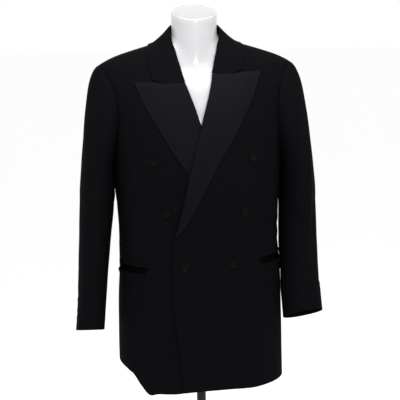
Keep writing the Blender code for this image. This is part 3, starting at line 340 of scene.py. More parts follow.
# Sleeve: across is measured round it from its outer side, forwards positive, up is the height.
sleeveRound = 0.060
sleeveWaves = {"depth": 0.00030, "around": 2.0, "slant": 29.0, "up": 47.0}
sleeveCreases = {
    "left": [
        ((0.055, 1.330), (0.082, 1.240), (0.078, 1.130), 0.011, -0.0030),
        ((0.040, 1.300), (0.052, 1.230), (0.048, 1.140), 0.011, 0.0012),
        ((0.052, 1.180), (0.060, 1.040), (0.062, 0.860), 0.012, -0.0034, 0.5),
        ((0.100, 1.080), (0.068, 1.062), (0.020, 1.075), 0.010, -0.0014),
        ((0.120, 1.040), (0.085, 1.012), (0.030, 1.020), 0.010, -0.0022),
        ((0.118, 1.000), (0.078, 0.985), (0.040, 0.992), 0.009, -0.0016),
        ((0.112, 0.962), (0.080, 0.940), (0.022, 0.948), 0.011, -0.0018),
        ((-0.020, 1.050), (-0.060, 1.030), (-0.100, 1.045), 0.012, -0.0016),
        ((-0.030, 0.995), (-0.070, 0.975), (-0.110, 0.985), 0.013, -0.0014),
        ((0.030, 0.900), (0.012, 0.870), (-0.030, 0.862), 0.012, -0.0012),
        ((0.010, 1.260), (-0.016, 1.180), (-0.014, 1.090), 0.015, -0.0009),
        ((-0.070, 1.300), (-0.088, 1.230), (-0.086, 1.150), 0.013, -0.0024),
        # fullness where the sleeve lies against the body
        ((0.180, 1.040), (0.184, 0.895), (0.180, 0.750), 0.030, 0.0050, 0.0),
        ((0.182, 1.160), (0.186, 1.080), (0.182, 0.990), 0.026, 0.0018, 0.0),
    ],
    "right": [
        ((0.058, 1.320), (0.086, 1.230), (0.084, 1.120), 0.011, -0.0032),
        ((0.042, 1.290), (0.054, 1.220), (0.052, 1.150), 0.011, 0.0011),
        ((0.106, 1.090), (0.070, 1.070), (0.026, 1.082), 0.010, -0.0016),
        ((0.122, 1.048), (0.084, 1.022), (0.024, 1.036), 0.011, -0.0022),
        ((0.114, 1.004), (0.076, 0.990), (0.034, 1.000), 0.009, -0.0015),
        ((0.120, 0.965), (0.080, 0.948), (0.030, 0.956), 0.011, -0.0017),
        ((0.060, 0.930), (0.050, 0.880), (0.056, 0.820), 0.013, -0.0012),
        ((-0.018, 1.060), (-0.062, 1.040), (-0.104, 1.050), 0.012, -0.0016),
        ((-0.028, 0.985), (-0.066, 0.968), (-0.108, 0.980), 0.013, -0.0014),
        ((0.020, 0.880), (0.000, 0.850), (-0.034, 0.846), 0.012, -0.0010),
        ((0.006, 1.250), (-0.018, 1.170), (-0.012, 1.090), 0.015, -0.0010),
        ((-0.072, 1.290), (-0.090, 1.220), (-0.086, 1.140), 0.013, -0.0023),
        ((0.184, 1.240), (0.186, 1.160), (0.184, 1.078), 0.026, 0.0045, 0.0),
    ],
}


def bodyField(points):
    across = np.arctan2(points[..., 0], -points[..., 1]) * bodyRound
    field = creaseField(across, points[..., 2], bodyCreases, math.tau * bodyRound)
    wide, high, waves = points[..., 0], points[..., 2], bodyWaves
    slanted = np.sin(wide * waves["across"] + high * waves["slant"])
    return field + waves["depth"] * slanted * np.sin(high * waves["up"] + waves["start"])


# The middle line of each sleeve, by height.
sleeveHeights = (0.76, 0.82, 0.90, 1.00, 1.12, 1.40)
sleeveLines = {
    "left": {
        "x": (0.2520, 0.2505, 0.2490, 0.2482, 0.2475, 0.2300),
        "y": (-0.066, -0.052, -0.028, -0.008, 0.000, 0.006),
    },
    "right": {
        "x": (0.2752, 0.2693, 0.2630, 0.2545, 0.2455, 0.2300),
        "y": (-0.048, -0.034, -0.018, -0.004, 0.000, 0.006),
    },
}


def sleeveMiddle(word, heights):
    line = sleeveLines[word]
    out = sideOf[word] * np.interp(heights, sleeveHeights, line["x"])
    return out, np.interp(heights, sleeveHeights, line["y"])


def sleeveField(points, word):
    middleX, middleY = sleeveMiddle(word, points[..., 2])
    out, forward = sideOf[word] * (points[..., 0] - middleX), middleY - points[..., 1]
    turn = np.arctan2(forward, out)
    period = math.tau * sleeveRound
    field = creaseField(turn * sleeveRound, points[..., 2], sleeveCreases[word], period)
    high, waves = points[..., 2], sleeveWaves
    slanted = np.sin(turn * waves["around"] + high * waves["slant"])
    return field + waves["depth"] * slanted * np.sin(high * waves["up"])


# A closed wall of cloth: the grid is its outer face, and its four edges are rounded over.
wallShape = {"thick": 0.0020, "rounding": 0.0011, "edgeShare": 0.62}


def gridFaces(index):
    corners = (index[:-1, :-1], index[:-1, 1:], index[1:, 1:], index[1:, :-1])
    return np.stack(corners, axis=2).reshape(-1, 4)


def wallFromGrid(name, grid, material, wall):
    rows, columns = grid.shape[:2]
    normals = gridNormals(grid)
    distances = edgeDistances(grid)
    closest = np.minimum.reduce([distances[edge] for edge in distances])
    share = np.clip(closest / wallShape["rounding"], 0.0, 1.0)
    least = wallShape["edgeShare"]
    full = least + (1.0 - least) * np.sqrt(1.0 - (1.0 - share) ** 2)
    drop = (wall / 2.0 * (1.0 - full))[..., None]
    depth = np.broadcast_to(wall, (rows, columns))[..., None]
    outer = grid - normals * drop
    inner = grid - normals * (depth - drop)
    points = np.concatenate((outer.reshape(-1, 3), inner.reshape(-1, 3)))
    index = np.arange(rows * columns).reshape(rows, columns)
    behind = rows * columns
    front = gridFaces(index)
    border = np.concatenate((index[0, :-1], index[:-1, -1], index[-1, :0:-1], index[:0:-1, 0]))
    ahead = np.roll(border, -1)
    rim = np.stack((border, border + behind, ahead + behind, ahead), axis=1)
    faces = np.concatenate((front, front[:, ::-1] + behind, rim))
    mesh = bpy.data.meshes.new(name)
    mesh.from_pydata(points.tolist(), [], faces.tolist(), shade_flat=False)
    # The cloth's own measure in metres, for the weave.
    across, up = distances["near"].ravel(), distances["first"].ravel()
    across, up = np.concatenate((across, across)), np.concatenate((up, up))
    layer = mesh.uv_layers.new(name="cloth")
    corners = np.stack((across[faces.ravel()], up[faces.ravel()]), axis=1)
    layer.data.foreach_set("uv", corners.ravel().astype(np.float32))
    mesh.materials.append(material)
    mesh.validate()
    return addObject(name, mesh)


# Every piece of cloth that shows, with its finished wall, how it is held, what it rests on and its
# grid.
# Each piece prints its width, length and area as it is made. They were measured before the last
# changes to the turnings and to the lapels' rolls.
# The jettings are 6.5 mm wide, and 10 mm is the least that can be stated.
clothPieces = {}


def finishCloth(name, grid, material, held, restsOn, wall=wallShape["thick"]):
    piece = wallFromGrid(name + "_cloth", grid, material, wall)
    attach(piece, "root")
    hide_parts(name)
    clothPieces[name] = {"piece": piece, "held": held, "restsOn": restsOn, "grid": grid}
    one = np.cross(grid[1:, 1:] - grid[:-1, :-1], grid[1:, :-1] - grid[:-1, 1:])
    wide = np.linalg.norm(np.diff(grid, axis=1), axis=2).sum(axis=1).max()
    long = np.linalg.norm(np.diff(grid, axis=0), axis=2).sum(axis=0).max()
    area = 0.5 * np.linalg.norm(one, axis=2).sum()
    print(f"{name}: {wide:.3f} by {long:.3f} m, {area:.4f} m2")


# Cloth keeps clear of what it lies on. Distances are from the outer faces, positive outside.
clearance = {
    "reach": 0.020,
    "beside": 0.0030,  # farther than this to the side of its nearest spot, a point isn't moved
    "passes": 5,
    "sleeve": 0.0014,
    "lapel": 0.0024,
    "form": -0.0032,
}


def outerFaces(names):
    points, faces = [], []
    for name in names:
        grid = clothPieces[name]["grid"]
        index = np.arange(grid.shape[0] * grid.shape[1]).reshape(grid.shape[:2]) + len(points)
        faces += gridFaces(index).tolist()
        points += grid.reshape(-1, 3).tolist()
    return BVHTree.FromPolygons(points, faces)


def shiftToClear(point, tree, gap):
    # Outwards for a positive gap, and inwards for a negative one.
    spot, normal, _, _ = tree.find_nearest(point, clearance["reach"])
    if spot is None:
        return None
    past = (point - spot).dot(normal)
    if (point - spot - normal * past).length > clearance["beside"]:
        return None
    wanted = gap - past
    return normal * wanted if wanted * gap > 0.0 else None


def keepOutside(grid, names, gap, strength=1.0):
    tree = outerFaces(names)
    moved = grid.copy()
    strength = np.broadcast_to(strength, grid.shape[:2])
    for _ in range(clearance["passes"]):
        for place in np.ndindex(grid.shape[:2]):
            share = strength[place]
            shift = shiftToClear(Vector(moved[place]), tree, gap) if share > 0.0 else None
            if shift is not None:
                moved[place] += np.array(shift) * share
    return moved


# Shader groups and finishes
def addMath(tree, operation, first, second=None):
    node = tree.nodes.new("ShaderNodeMath")
    node.operation = operation
    for socket, value in zip(node.inputs, (first, second)):
        if isinstance(value, (int, float)):
            socket.default_value = value
        elif value is not None:
            tree.links.new(value, socket)
    return node.outputs[0]


twillShape = {
    "inputs": {"Yarns": 1500.0, "Slub": 0.3},
    "rib": 0.35,
    "warp": 0.15,
    "middle": 0.5,
    "toneShare": 0.5,
    "noise": {"Scale": 55.0, "Detail": 6.0, "Roughness": 0.65},
}


def makeTwill():
    # A fine diagonal rib of crossing yarns, with slow unevenness over it.
    group = bpy.data.node_groups.new("twillWeave", "ShaderNodeTree")
    sockets = group.interface
    sockets.new_socket(name="Vector", in_out="INPUT", socket_type="NodeSocketVector")
    for title, value in twillShape["inputs"].items():
        socket = sockets.new_socket(name=title, in_out="INPUT", socket_type="NodeSocketFloat")
        socket.default_value = value
    for title in ("Height", "Tone"):
        sockets.new_socket(name=title, in_out="OUTPUT", socket_type="NodeSocketFloat")
    entry, out = group.nodes.new("NodeGroupInput"), group.nodes.new("NodeGroupOutput")
    scaled = group.nodes.new("ShaderNodeVectorMath")
    scaled.operation = "SCALE"
    group.links.new(entry.outputs["Vector"], scaled.inputs[0])
    group.links.new(entry.outputs["Yarns"], scaled.inputs["Scale"])
    parts = group.nodes.new("ShaderNodeSeparateXYZ")
    group.links.new(scaled.outputs[0], parts.inputs[0])
    diagonal = addMath(group, "ADD", parts.outputs[0], parts.outputs[1])
    rib = addMath(group, "SINE", addMath(group, "MULTIPLY", diagonal, math.pi))
    warp = addMath(group, "SINE", addMath(group, "MULTIPLY", parts.outputs[0], math.tau))
    ribPart = addMath(group, "MULTIPLY", rib, twillShape["rib"])
    warpPart = addMath(group, "MULTIPLY", warp, twillShape["warp"])
    yarn = addMath(group, "ADD", ribPart, warpPart)
    uneven = group.nodes.new("ShaderNodeTexNoise")
    for socket, value in twillShape["noise"].items():
        uneven.inputs[socket].default_value = value
    group.links.new(entry.outputs["Vector"], uneven.inputs["Vector"])
    middle = twillShape["middle"]
    spread = addMath(group, "SUBTRACT", uneven.outputs["Fac"], middle)
    slub = addMath(group, "MULTIPLY", spread, entry.outputs["Slub"])
    height = addMath(group, "ADD", addMath(group, "ADD", yarn, middle), slub)
    group.links.new(height, out.inputs["Height"])
    fainter = addMath(group, "MULTIPLY", yarn, twillShape["toneShare"])
    tone = addMath(group, "ADD", fainter, addMath(group, "ADD", slub, middle))
    group.links.new(tone, out.inputs["Tone"])
    return group


twill = makeTwill()
bumpDistance = 0.0002
grainDetail = 5.0


def dressShader(name, look, addPattern):
    # Colour and roughness follow the pattern's mask, and the surface follows its height.
    material = bpy.data.materials.new(name)
    material.use_nodes = True
    tree = material.node_tree
    shader = tree.nodes["Principled BSDF"]
    for socket, value in look["constants"].items():
        shader.inputs[socket].default_value = value
    mask, height = addPattern(tree)
    colours = tree.nodes.new("ShaderNodeMix")
    colours.data_type = "RGBA"
    colours.inputs["A"].default_value = (*look["dark"], 1.0)
    colours.inputs["B"].default_value = (*look["light"], 1.0)
    tree.links.new(mask, colours.inputs["Factor"])
    tree.links.new(colours.outputs["Result"], shader.inputs["Base Color"])
    rough = tree.nodes.new("ShaderNodeMapRange")
    for socket, value in zip(("To Min", "To Max"), look["roughness"]):
        rough.inputs[socket].default_value = value
    tree.links.new(mask, rough.inputs["Value"])
    tree.links.new(rough.outputs["Result"], shader.inputs["Roughness"])
    bump = tree.nodes.new("ShaderNodeBump")
    bump.inputs["Strength"].default_value = look["bump"]
    bump.inputs["Distance"].default_value = bumpDistance
    tree.links.new(height, bump.inputs["Height"])
    tree.links.new(bump.outputs["Normal"], shader.inputs["Normal"])
    return material


def clothFinish(name, look):
    def addWeave(tree):
        measure = tree.nodes.new("ShaderNodeUVMap")
        measure.uv_map = "cloth"
        node = tree.nodes.new("ShaderNodeGroup")
        node.node_tree = twill
        node.inputs["Yarns"].default_value = look["yarns"]
        node.inputs["Slub"].default_value = look["slub"]
        tree.links.new(measure.outputs["UV"], node.inputs["Vector"])
        return node.outputs["Tone"], node.outputs["Height"]

    return dressShader(name, look, addWeave)


def hardFinish(name, look):
    # A moulded or painted finish with a faint unevenness.
    def addGrain(tree):
        place = tree.nodes.new("ShaderNodeTexCoord")
        node = tree.nodes.new("ShaderNodeTexNoise")
        node.inputs["Scale"].default_value = look["grain"]
        node.inputs["Detail"].default_value = grainDetail
        tree.links.new(place.outputs["Object"], node.inputs["Vector"])
        return node.outputs["Fac"], node.outputs["Fac"]

    return dressShader(name, look, addGrain)


woolLook = {
    "dark": (0.0020, 0.0020, 0.0026),
    "light": (0.0042, 0.0042, 0.0053),
    "roughness": (0.95, 0.85),
    "constants": {"Specular IOR Level": 0.02},
    "yarns": 1400.0,
    "slub": 0.5,
    "bump": 0.35,
}
satinLook = {
    "dark": (0.0033, 0.0034, 0.0049),
    "light": (0.0050, 0.0052, 0.0071),
    "roughness": (0.52, 0.44),
    "constants": {"Specular IOR Level": 0.022},
    "yarns": 2600.0,
    "slub": 0.25,
    "bump": 0.12,
}
formLook = {
    "dark": (0.44, 0.44, 0.45),
    "light": (0.49, 0.49, 0.50),
    "roughness": (0.20, 0.27),
    "constants": {"Specular IOR Level": 0.5, "Coat Weight": 0.3, "Coat Roughness": 0.16},
    "grain": 9.0,
    "bump": 0.02,
}
# The neck's flat top: a darker white, painted shade so the top lamp doesn't light it brighter than
# the neck.
shadedCapLook = {**formLook, "dark": (0.26, 0.26, 0.263), "light": (0.29, 0.29, 0.293)}
buttonLook = {
    "dark": (0.0010, 0.0010, 0.0013),
    "light": (0.0020, 0.0020, 0.0024),
    "roughness": (0.26, 0.38),
    "constants": {"Specular IOR Level": 0.05},
    "grain": 260.0,
    "bump": 0.05,
}
standLook = {
    "dark": (0.0060, 0.0060, 0.0066),
    "light": (0.0110, 0.0110, 0.0120),
    "roughness": (0.36, 0.48),
    "constants": {"Specular IOR Level": 0.2},
    "grain": 900.0,
    "bump": 0.12,
}
threadLook = {
    "dark": (0.0020, 0.0020, 0.0022),
    "light": (0.0050, 0.0050, 0.0056),
    "roughness": (0.80, 0.90),
    "constants": {"Specular IOR Level": 0.1},
    "grain": 2500.0,
    "bump": 0.4,
}
wool = clothFinish("blackWool", woolLook)
satin = clothFinish("blackSatin", satinLook)
formFinish = hardFinish("glossyWhite", formLook)
shadedCapFinish = hardFinish("capWhiteWithPaintedShade", shadedCapLook)
buttonFinish = hardFinish("polishedBlack", buttonLook)
standFinish = hardFinish("satinBlackPaint", standLook)
threadFinish = hardFinish("blackThread", threadLook)
print("finishes made")


# Seam allowances: past a seam the cloth goes on below its neighbour and closes the joint.
turning = {
    "steps": ((0.0001, 0.0024), (0.0045, 0.0033)),  # onwards, inwards
    "directionFrom": 5,  # lines back from the edge, past its rounding
    "facingFrom": 2,
}


def turnUnder(grid, edge):
    facing = gridNormals(grid)
    sideways = edge in ("near", "far")
    if sideways:
        grid, facing = grid.transpose(1, 0, 2), facing.transpose(1, 0, 2)
    if edge == "near":
        grid, facing = grid[::-1], facing[::-1]
    onwards = unit(grid[-1] - grid[-turning["directionFrom"]])
    inwards = -facing[-turning["facingFrom"]]
    extra = [grid[-1] + onwards * far + inwards * deep for far, deep in turning["steps"]]
    grid = np.concatenate((grid, np.array(extra)))
    if edge == "near":
        grid = grid[::-1]
    return grid.transpose(1, 0, 2) if sideways else grid


# Body panels
pocket = {
    "height": {"left": 0.942, "right": 0.927},
    "frontX": 0.134,
    "fade": 0.012,
    "backY": 0.012,
    "backFade": 0.018,
    "below": 0.0022,  # the mouth's middle, below the middle between the jettings
    "half": 0.0062,
    "squareness": 4,
    "depth": 0.0085,
    "close": (0.017, 0.0013),  # half height and spacing of the closer lines
}
panel = {"spacing": 0.0036, "seamDepth": 0.0007, "seamWidth": 0.0028}
rollPull = {"from": 1.012, "full": 1.035, "depth": 0.0030, "reach": 0.012}


def seamGroove(distances):
    return -panel["seamDepth"] * np.exp(-((distances / panel["seamWidth"]) ** 2))


def pocketMouth(grid, word):
    below = pocket["height"][word] - grid[..., 2] - pocket["below"]
    mouth = np.exp(-((below / pocket["half"]) ** pocket["squareness"]))
    mouth *= softStep(np.abs(grid[..., 0]), pocket["frontX"], pocket["frontX"] + pocket["fade"])
    mouth *= softStep(-grid[..., 1], pocket["backY"], pocket["backY"] + pocket["backFade"])
    return -pocket["depth"] * mouth


def pullFromRoll(grid, word):
    # Above the break the front's edge draws back, and the lapel's roll closes over it.
    distances = edgeDistances(grid)["near" if word == "left" else "far"]
    inwards = sideOf[word] * unit(np.gradient(grid, axis=1))
    share = softStep(grid[..., 2], rollPull["from"], rollPull["full"])
    share *= np.clip(1.0 - distances / rollPull["reach"], 0.0, 1.0)
    return grid + inwards * (rollPull["depth"] * share)[..., None]


def addPanel(kind, word, seams, under=None):
    name = f"{kind}_{word}"
    half, gap = pocket["close"]
    close = (pocket["height"][word], half, gap) if kind == "front" else None
    grid = refine(uprightGrid(name, fromMiddle), panel["spacing"], close=close)
    if kind == "front":
        grid = pullFromRoll(grid, word)
    distances = edgeDistances(grid)
    lift = bodyField(grid) + sum(seamGroove(distances[seam]) for seam in seams)
    if kind == "front":
        lift += pocketMouth(grid, word)
    grid = raiseBy(grid, lift)
    if under:
        grid = turnUnder(grid, under)
    finishCloth(name, grid, wool, "draped", ["torso_form_shell"])


for word, backwards in (("left", "far"), ("right", "near")):
    addPanel("front", word, (backwards,), backwards)
    addPanel("side_panel", word, ("near", "far"), backwards)
    addPanel("back", word, ("near", "far"), "far" if word == "left" else None)
print("body panels made")


# Lapels: satin that rolls round the front's edge and lies on it
lapel = {
    "spacing": 0.0030,
    "easing": 2,
    "rolledWall": 0.0012,
    "rolledFrom": 4,  # lines before the roll, where its thinner wall begins
    "directionFrom": 5,
    "facingFrom": 4,
    "steps": 7,
    "turn": math.radians(60.0),  # past the edge's own quarter circle
    "radius": (0.0023, 0.0033),  # where the fronts cross, and above
    "above": (1.270, 1.300),
}


def rollOver(grid, word):
    # The roll edge, which comes last in each row, bends back round the front's edge.
    order = slice(None, None, -sideOf[word])
    rows = []
    for row, facing in zip(grid[:, order], gridNormals(grid)[:, order]):
        corner, normal = row[-1], facing[-lapel["facingFrom"]]
        ahead = corner - row[-lapel["directionFrom"]]
        ahead = unit(ahead - normal * (ahead @ normal))
        low, high = lapel["radius"]
        radius = low + (high - low) * float(softStep(corner[2], *lapel["above"]))
        inside = (corner - row) @ ahead
        sunk = radius - np.sqrt(np.maximum(radius**2 - np.maximum(radius - inside, 0.0) ** 2, 0.0))
        bent = list(row - normal * sunk[:, None])
        centre = corner - ahead * radius - normal * radius
        for step in range(1, lapel["steps"] + 1):
            turn = math.pi / 2 + lapel["turn"] * step / lapel["steps"]
            bent.append(centre + radius * (normal * math.cos(turn) + ahead * math.sin(turn)))
        rows.append(bent)
    return np.array(rows)[:, order]


def addLapel(word):
    name = f"lapel_{word}"
    plain = uprightGrid(name, lambda points: -points[:, 1].mean())
    for _ in range(lapel["easing"]):  # the facing's ease evens out the fold below it
        plain[:, 1:-1] = (plain[:, :-2] + 2.0 * plain[:, 1:-1] + plain[:, 2:]) / 4.0
    grid = refine(plain, lapel["spacing"])
    plainColumns = grid.shape[1]
    grid = raiseBy(grid, bodyField(grid))
    grid = rollOver(keepOutside(grid, [f"front_{word}"], clearance["lapel"]), word)
    rolled = grid.shape[1] - plainColumns + lapel["rolledFrom"]
    wall = np.full(grid.shape[:2], wallShape["thick"])
    wall[:, slice(None, rolled) if word == "left" else slice(-rolled, None)] = lapel["rolledWall"]
    finishCloth(name, grid, satin, "folded", [f"front_{word}_cloth"], wall)


for word in sideOf:
    addLapel(word)
print("lapels made")


# Collar: the body's creases fade out on it towards the back
collar = {"spacing": 0.0028, "creaseFade": (0.0, 0.05)}


def addCollar():
    grid = readSkin("collar", lambda points: points[:, 2].max())
    if grid.shape[0] < grid.shape[1]:
        grid = quarterTurn(grid)
    grid = refine(grid, collar["spacing"])
    lift = bodyField(grid) * softStep(-grid[..., 1], *collar["creaseFade"])
    grid = raiseBy(grid, lift)
    carriers = ["front_left_cloth", "front_right_cloth", "back_left_cloth", "back_right_cloth"]
    finishCloth("collar", grid, wool, "folded", carriers)


addCollar()
print("collar made")


# Pocket jettings
jetting = {
    "fewest": 2,
    "spacing": 0.0022,
    "steps": (0.0004, 0.0010, 0.0018),
    "wall": 0.0012,
    "crown": 0.0005,
    "crownReach": 0.003,
    "endReach": 0.018,
    "endSink": 0.0019,
}


def addJetting(strip, word):
    name = f"pocket_jet_{strip}_{word}"
    grid = readSkin(name, fromMiddle, jetting["fewest"])
    if grid.shape[0] > grid.shape[1]:
        grid = quarterTurn(grid)
    grid = refine(grid, jetting["spacing"], jetting["steps"])
    distances = edgeDistances(grid)
    crown = np.minimum(distances["first"], distances["last"]) / jetting["crownReach"]
    ends = np.minimum(distances["near"], distances["far"])
    lift = bodyField(grid) + jetting["crown"] * np.sqrt(np.clip(crown, 0.0, 1.0))
    lift -= jetting["endSink"] * (1.0 - softStep(ends, 0.0, jetting["endReach"]))
    grid = raiseBy(grid, lift)
    finishCloth(name, grid, wool, "laid", [f"front_{word}_cloth"], jetting["wall"])


for word in sideOf:
    addJetting("upper", word)
    addJetting("lower", word)
print("pocket jettings made")


# Sleeves
sleeve = {
    "spacing": 0.0036,
    "creaseFade": 0.03,
    "headRise": 0.0007,
    "headPlace": 0.013,
    "headWidth": 0.009,
    "free": (0.003, 0.010),  # distances from the armhole over which the clearing sets in
    "beside": ("front", "side_panel", "back", "pocket_jet"),
}


def addSleeve(part, word):
    name = f"sleeve_{part}_{word}"

    def fromSleeveMiddle(points):
        middleX, middleY = sleeveMiddle(word, points[:, 2])
        return np.hypot(points[:, 0] - middleX, points[:, 1] - middleY).mean()

    grid = refine(uprightGrid(name, fromSleeveMiddle), sleeve["spacing"])
    distances = edgeDistances(grid)
    lift = sleeveField(grid, word) * softStep(distances["last"], 0.0, sleeve["creaseFade"])
    lift += seamGroove(distances["near"]) + seamGroove(distances["far"])
    if part == "upper":
        head = np.exp(-(((distances["last"] - sleeve["headPlace"]) / sleeve["headWidth"]) ** 2))
        lift += sleeve["headRise"] * head
    grid = raiseBy(grid, lift)
    onThisSide = [other for other in clothPieces if other.endswith(word)]
    beside = [other for other in onThisSide if other.startswith(sleeve["beside"])]
    strength = softStep(distances["last"], *sleeve["free"])
    grid = keepOutside(grid, beside, clearance["sleeve"], strength)
    carriers = [f"front_{word}_cloth", f"back_{word}_cloth"]
    finishCloth(name, turnUnder(grid, "last"), wool, "hung", carriers)


for word in sideOf:
    addSleeve("upper", word)
    addSleeve("under", word)
print("sleeves made")


# Buttons: rim, dished middle and four holes, modelled once around the origin and facing +Z
buttonShape = {
    "sides": 40,
    "front": {"radius": 0.0105, "thick": 0.0032},
    "cuff": {"radius": 0.0075, "thick": 0.0023},
    "insets": ((0.10, 0.0), (0.14, -0.05), (0.10, -0.10), (0.10, -0.02)),  # in radii: inwards, up
    "holeRadius": 0.095,
    "holePlace": 0.23,
    "holeSides": 14,
    "holes": 4,
    "backShare": 0.80,
    "edge": 0.05,
    "edgeSteps": 3,
    "edgeAngle": math.radians(32.0),
    "smoothAngle": math.radians(35.0),
    "levelFace": 0.9,
}
threadShape = {
    "sides": (24, 8),
    "radius": 0.032,  # in button radii, and so is apart
    "apart": 0.045,
    "raised": 0.16,  # in button thicknesses
    "middleHeight": 0.62,
    "sideHeight": 0.55,
}


def pickFaces(mesh, test):
    shape = bmesh.from_edit_mesh(mesh)
    for face in shape.faces:
        face.select_set(test(face))
    bmesh.update_edit_mesh(mesh)


def modelButton(size):
    radius, thick, level = size["radius"], size["thick"], buttonShape["levelFace"]
    bpy.ops.mesh.primitive_cylinder_add(vertices=buttonShape["sides"], radius=radius, depth=thick)
    button = bpy.context.object
    bpy.ops.object.mode_set(mode="EDIT")
    bpy.ops.mesh.select_mode(type="FACE")
    pickFaces(button.data, lambda face: face.normal.z > level)
    for inset, depth in buttonShape["insets"]:
        bpy.ops.mesh.inset(thickness=inset * radius, depth=depth * radius)
    pickFaces(button.data, lambda face: face.normal.z < -level)
    bpy.ops.transform.resize(value=(buttonShape["backShare"], buttonShape["backShare"], 1.0))
    bpy.ops.object.mode_set(mode="OBJECT")
    bevel = button.modifiers.new("edge", "BEVEL")
    bevel.width = buttonShape["edge"] * radius
    bevel.segments = buttonShape["edgeSteps"]
    bevel.limit_method = "ANGLE"
    bevel.angle_limit = buttonShape["edgeAngle"]
    bpy.ops.object.modifier_apply(modifier="edge")
    for index in range(buttonShape["holes"]):
        turn = math.tau * (index + 0.5) / buttonShape["holes"]
        place = buttonShape["holePlace"] * radius
        bpy.ops.mesh.primitive_cylinder_add(
            vertices=buttonShape["holeSides"],
            radius=buttonShape["holeRadius"] * radius,
            depth=3 * thick,  # well through
            location=(place * math.cos(turn), place * math.sin(turn), 0.0),
        )
        cutter = bpy.context.object
        cut = button.modifiers.new("hole", "BOOLEAN")
        cut.operation = "DIFFERENCE"
        cut.object = cutter
        bpy.context.view_layer.objects.active = button
        bpy.ops.object.modifier_apply(modifier="hole")
        bpy.data.objects.remove(cutter, do_unlink=True)
    selectOnly(button)
    bpy.ops.object.shade_smooth_by_angle(angle=buttonShape["smoothAngle"])
    button.data.materials.append(buttonFinish)
    return button


def modelThread(size):
    # Two stitched bars of three strands, across the four holes.
    radius, thick = size["radius"], size["thick"]
    place = buttonShape["holePlace"] * radius * math.cos(math.pi / 4)
    around, across = threadShape["sides"]
    strands = []
    for row in (-1, 1):
        for strand in (-1, 0, 1):
            aside = row * place + strand * threadShape["apart"] * radius
            bpy.ops.mesh.primitive_torus_add(
                major_segments=around,
                minor_segments=across,
                major_radius=place,
                minor_radius=threadShape["radius"] * radius,
                location=(0.0, aside, threadShape["raised"] * thick),
                rotation=(math.pi / 2, 0.0, 0.0),
            )
            ring = bpy.context.object
            ring.scale.y = threadShape["sideHeight" if strand else "middleHeight"]
            strands.append(ring)
    selectOnly(*strands)
    bpy.ops.object.join()
    thread = bpy.context.object
    bpy.ops.object.transform_apply(location=True, rotation=True, scale=True)
    thread.data.materials.append(threadFinish)
    bpy.ops.object.shade_smooth()
    return thread


def buttonSeat(name, word):
    # Where a button's solid sits, which way it faces and how far the creases carry it.
    points = np.array([vert.co[:] for vert in nodes[name].data.vertices])
    points = np.unique(points.round(6), axis=0)
    middle = points.mean(axis=0)
    normal = np.linalg.svd(points - middle)[2][2]
    if name.startswith("cuff"):
        middleX, middleY = sleeveMiddle(word, middle[2])
        outward = np.array((middle[0] - middleX, middle[1] - middleY, 0.0))
        lift = float(sleeveField(middle[None, :], word)[0])
    else:
        outward = np.array((0.0, -1.0, 0.0))
        lift = float(bodyField(middle[None, :])[0])
    if normal @ outward < 0.0:
        normal = -normal
    return middle + normal * lift, normal


def placeCopy(model, name, place):
    piece = model.copy()
    piece.data = model.data.copy()
    piece.name = name
    bpy.context.scene.collection.objects.link(piece)
    piece.data.transform(place)
    piece.matrix_world = Matrix.Identity(4)
    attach(piece, "root")
    return piece


def addButtons():
    models = {}
    for kind in ("front", "cuff"):
        size = buttonShape[kind]
        models[kind] = (modelButton(size), modelThread(size))
    made = {}
    for name in sorted(node for node in nodes if "button" in node):
        word = name.rsplit("_", 1)[1]
        kind = "cuff" if name.startswith("cuff") else "front"
        middle, normal = buttonSeat(name, word)
        facing = Vector(normal).to_track_quat("Z", "Y").to_matrix().to_4x4()
        upright = facing.inverted() @ Vector((0.0, 0.0, 1.0))
        spin = Matrix.Rotation(math.atan2(upright.y, upright.x) - math.pi / 2, 4, "Z")
        place = Matrix.Translation(Vector(middle)) @ facing @ spin
        button = placeCopy(models[kind][0], name + "_polished", place)
        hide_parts(name)
        thread = placeCopy(models[kind][1], name + "_thread", place)
        made[name] = [button, thread]
    for pair in models.values():
        for model in pair:
            bpy.data.objects.remove(model, do_unlink=True)
    return made


buttons = addButtons()
print("buttons made")


# Torso form and stand: the neck's flat, upward-facing end gets a darker white, painted shade that
# keeps the top lamp from lighting it brighter than the neck
formShape = {"levels": 2, "capFacing": 0.80, "capHeight": 1.50}


def addForm():
    mesh = weldedMesh("torso_form")
    bmesh.ops.join_triangles(
        mesh, faces=mesh.faces, angle_face_threshold=math.pi, angle_shape_threshold=math.pi
    )
    data = bpy.data.meshes.new("torso_form_shell")
    mesh.to_mesh(data)
    mesh.free()
    form = addObject("torso_form_shell", data)
    selectOnly(form)
    smooth = form.modifiers.new("smooth", "SUBSURF")
    smooth.levels = smooth.render_levels = formShape["levels"]
    bpy.ops.object.modifier_apply(modifier="smooth")
    bpy.ops.object.shade_smooth()
    panels = [name for name in clothPieces if name.startswith(("front", "side_panel", "back"))]
    tree = outerFaces(panels)
    for _ in range(clearance["passes"]):  # the smooth shell stays below the cloth
        for vert in data.vertices:
            vert.co += shiftToClear(vert.co, tree, clearance["form"]) or Vector()
    data.materials.append(formFinish)
    data.materials.append(shadedCapFinish)
    # Faces high up that face upwards take the darker white: painted shade on the neck's flat top.
    for face in data.polygons:
        isHigh = face.center.z > formShape["capHeight"]
        if isHigh and face.normal.z > formShape["capFacing"]:
            face.material_index = 1
    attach(form, "root")
    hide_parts("torso_form")


addForm()
for name in ("pole", "base_socket", "base_plate"):
    nodes[name].data.materials.clear()
    nodes[name].data.materials.append(standFinish)
print("form and stand made")


# Which buttons are sewn on which piece of cloth: the list is gathered and not used further
def declareCloth():
    sewnOn = {name: [] for name in clothPieces}
    for name, pieces in buttons.items():
        word = name.rsplit("_", 1)[1]
        sewnOn[f"sleeve_upper_{word}" if name.startswith("cuff") else f"front_{word}"] += pieces


declareCloth()


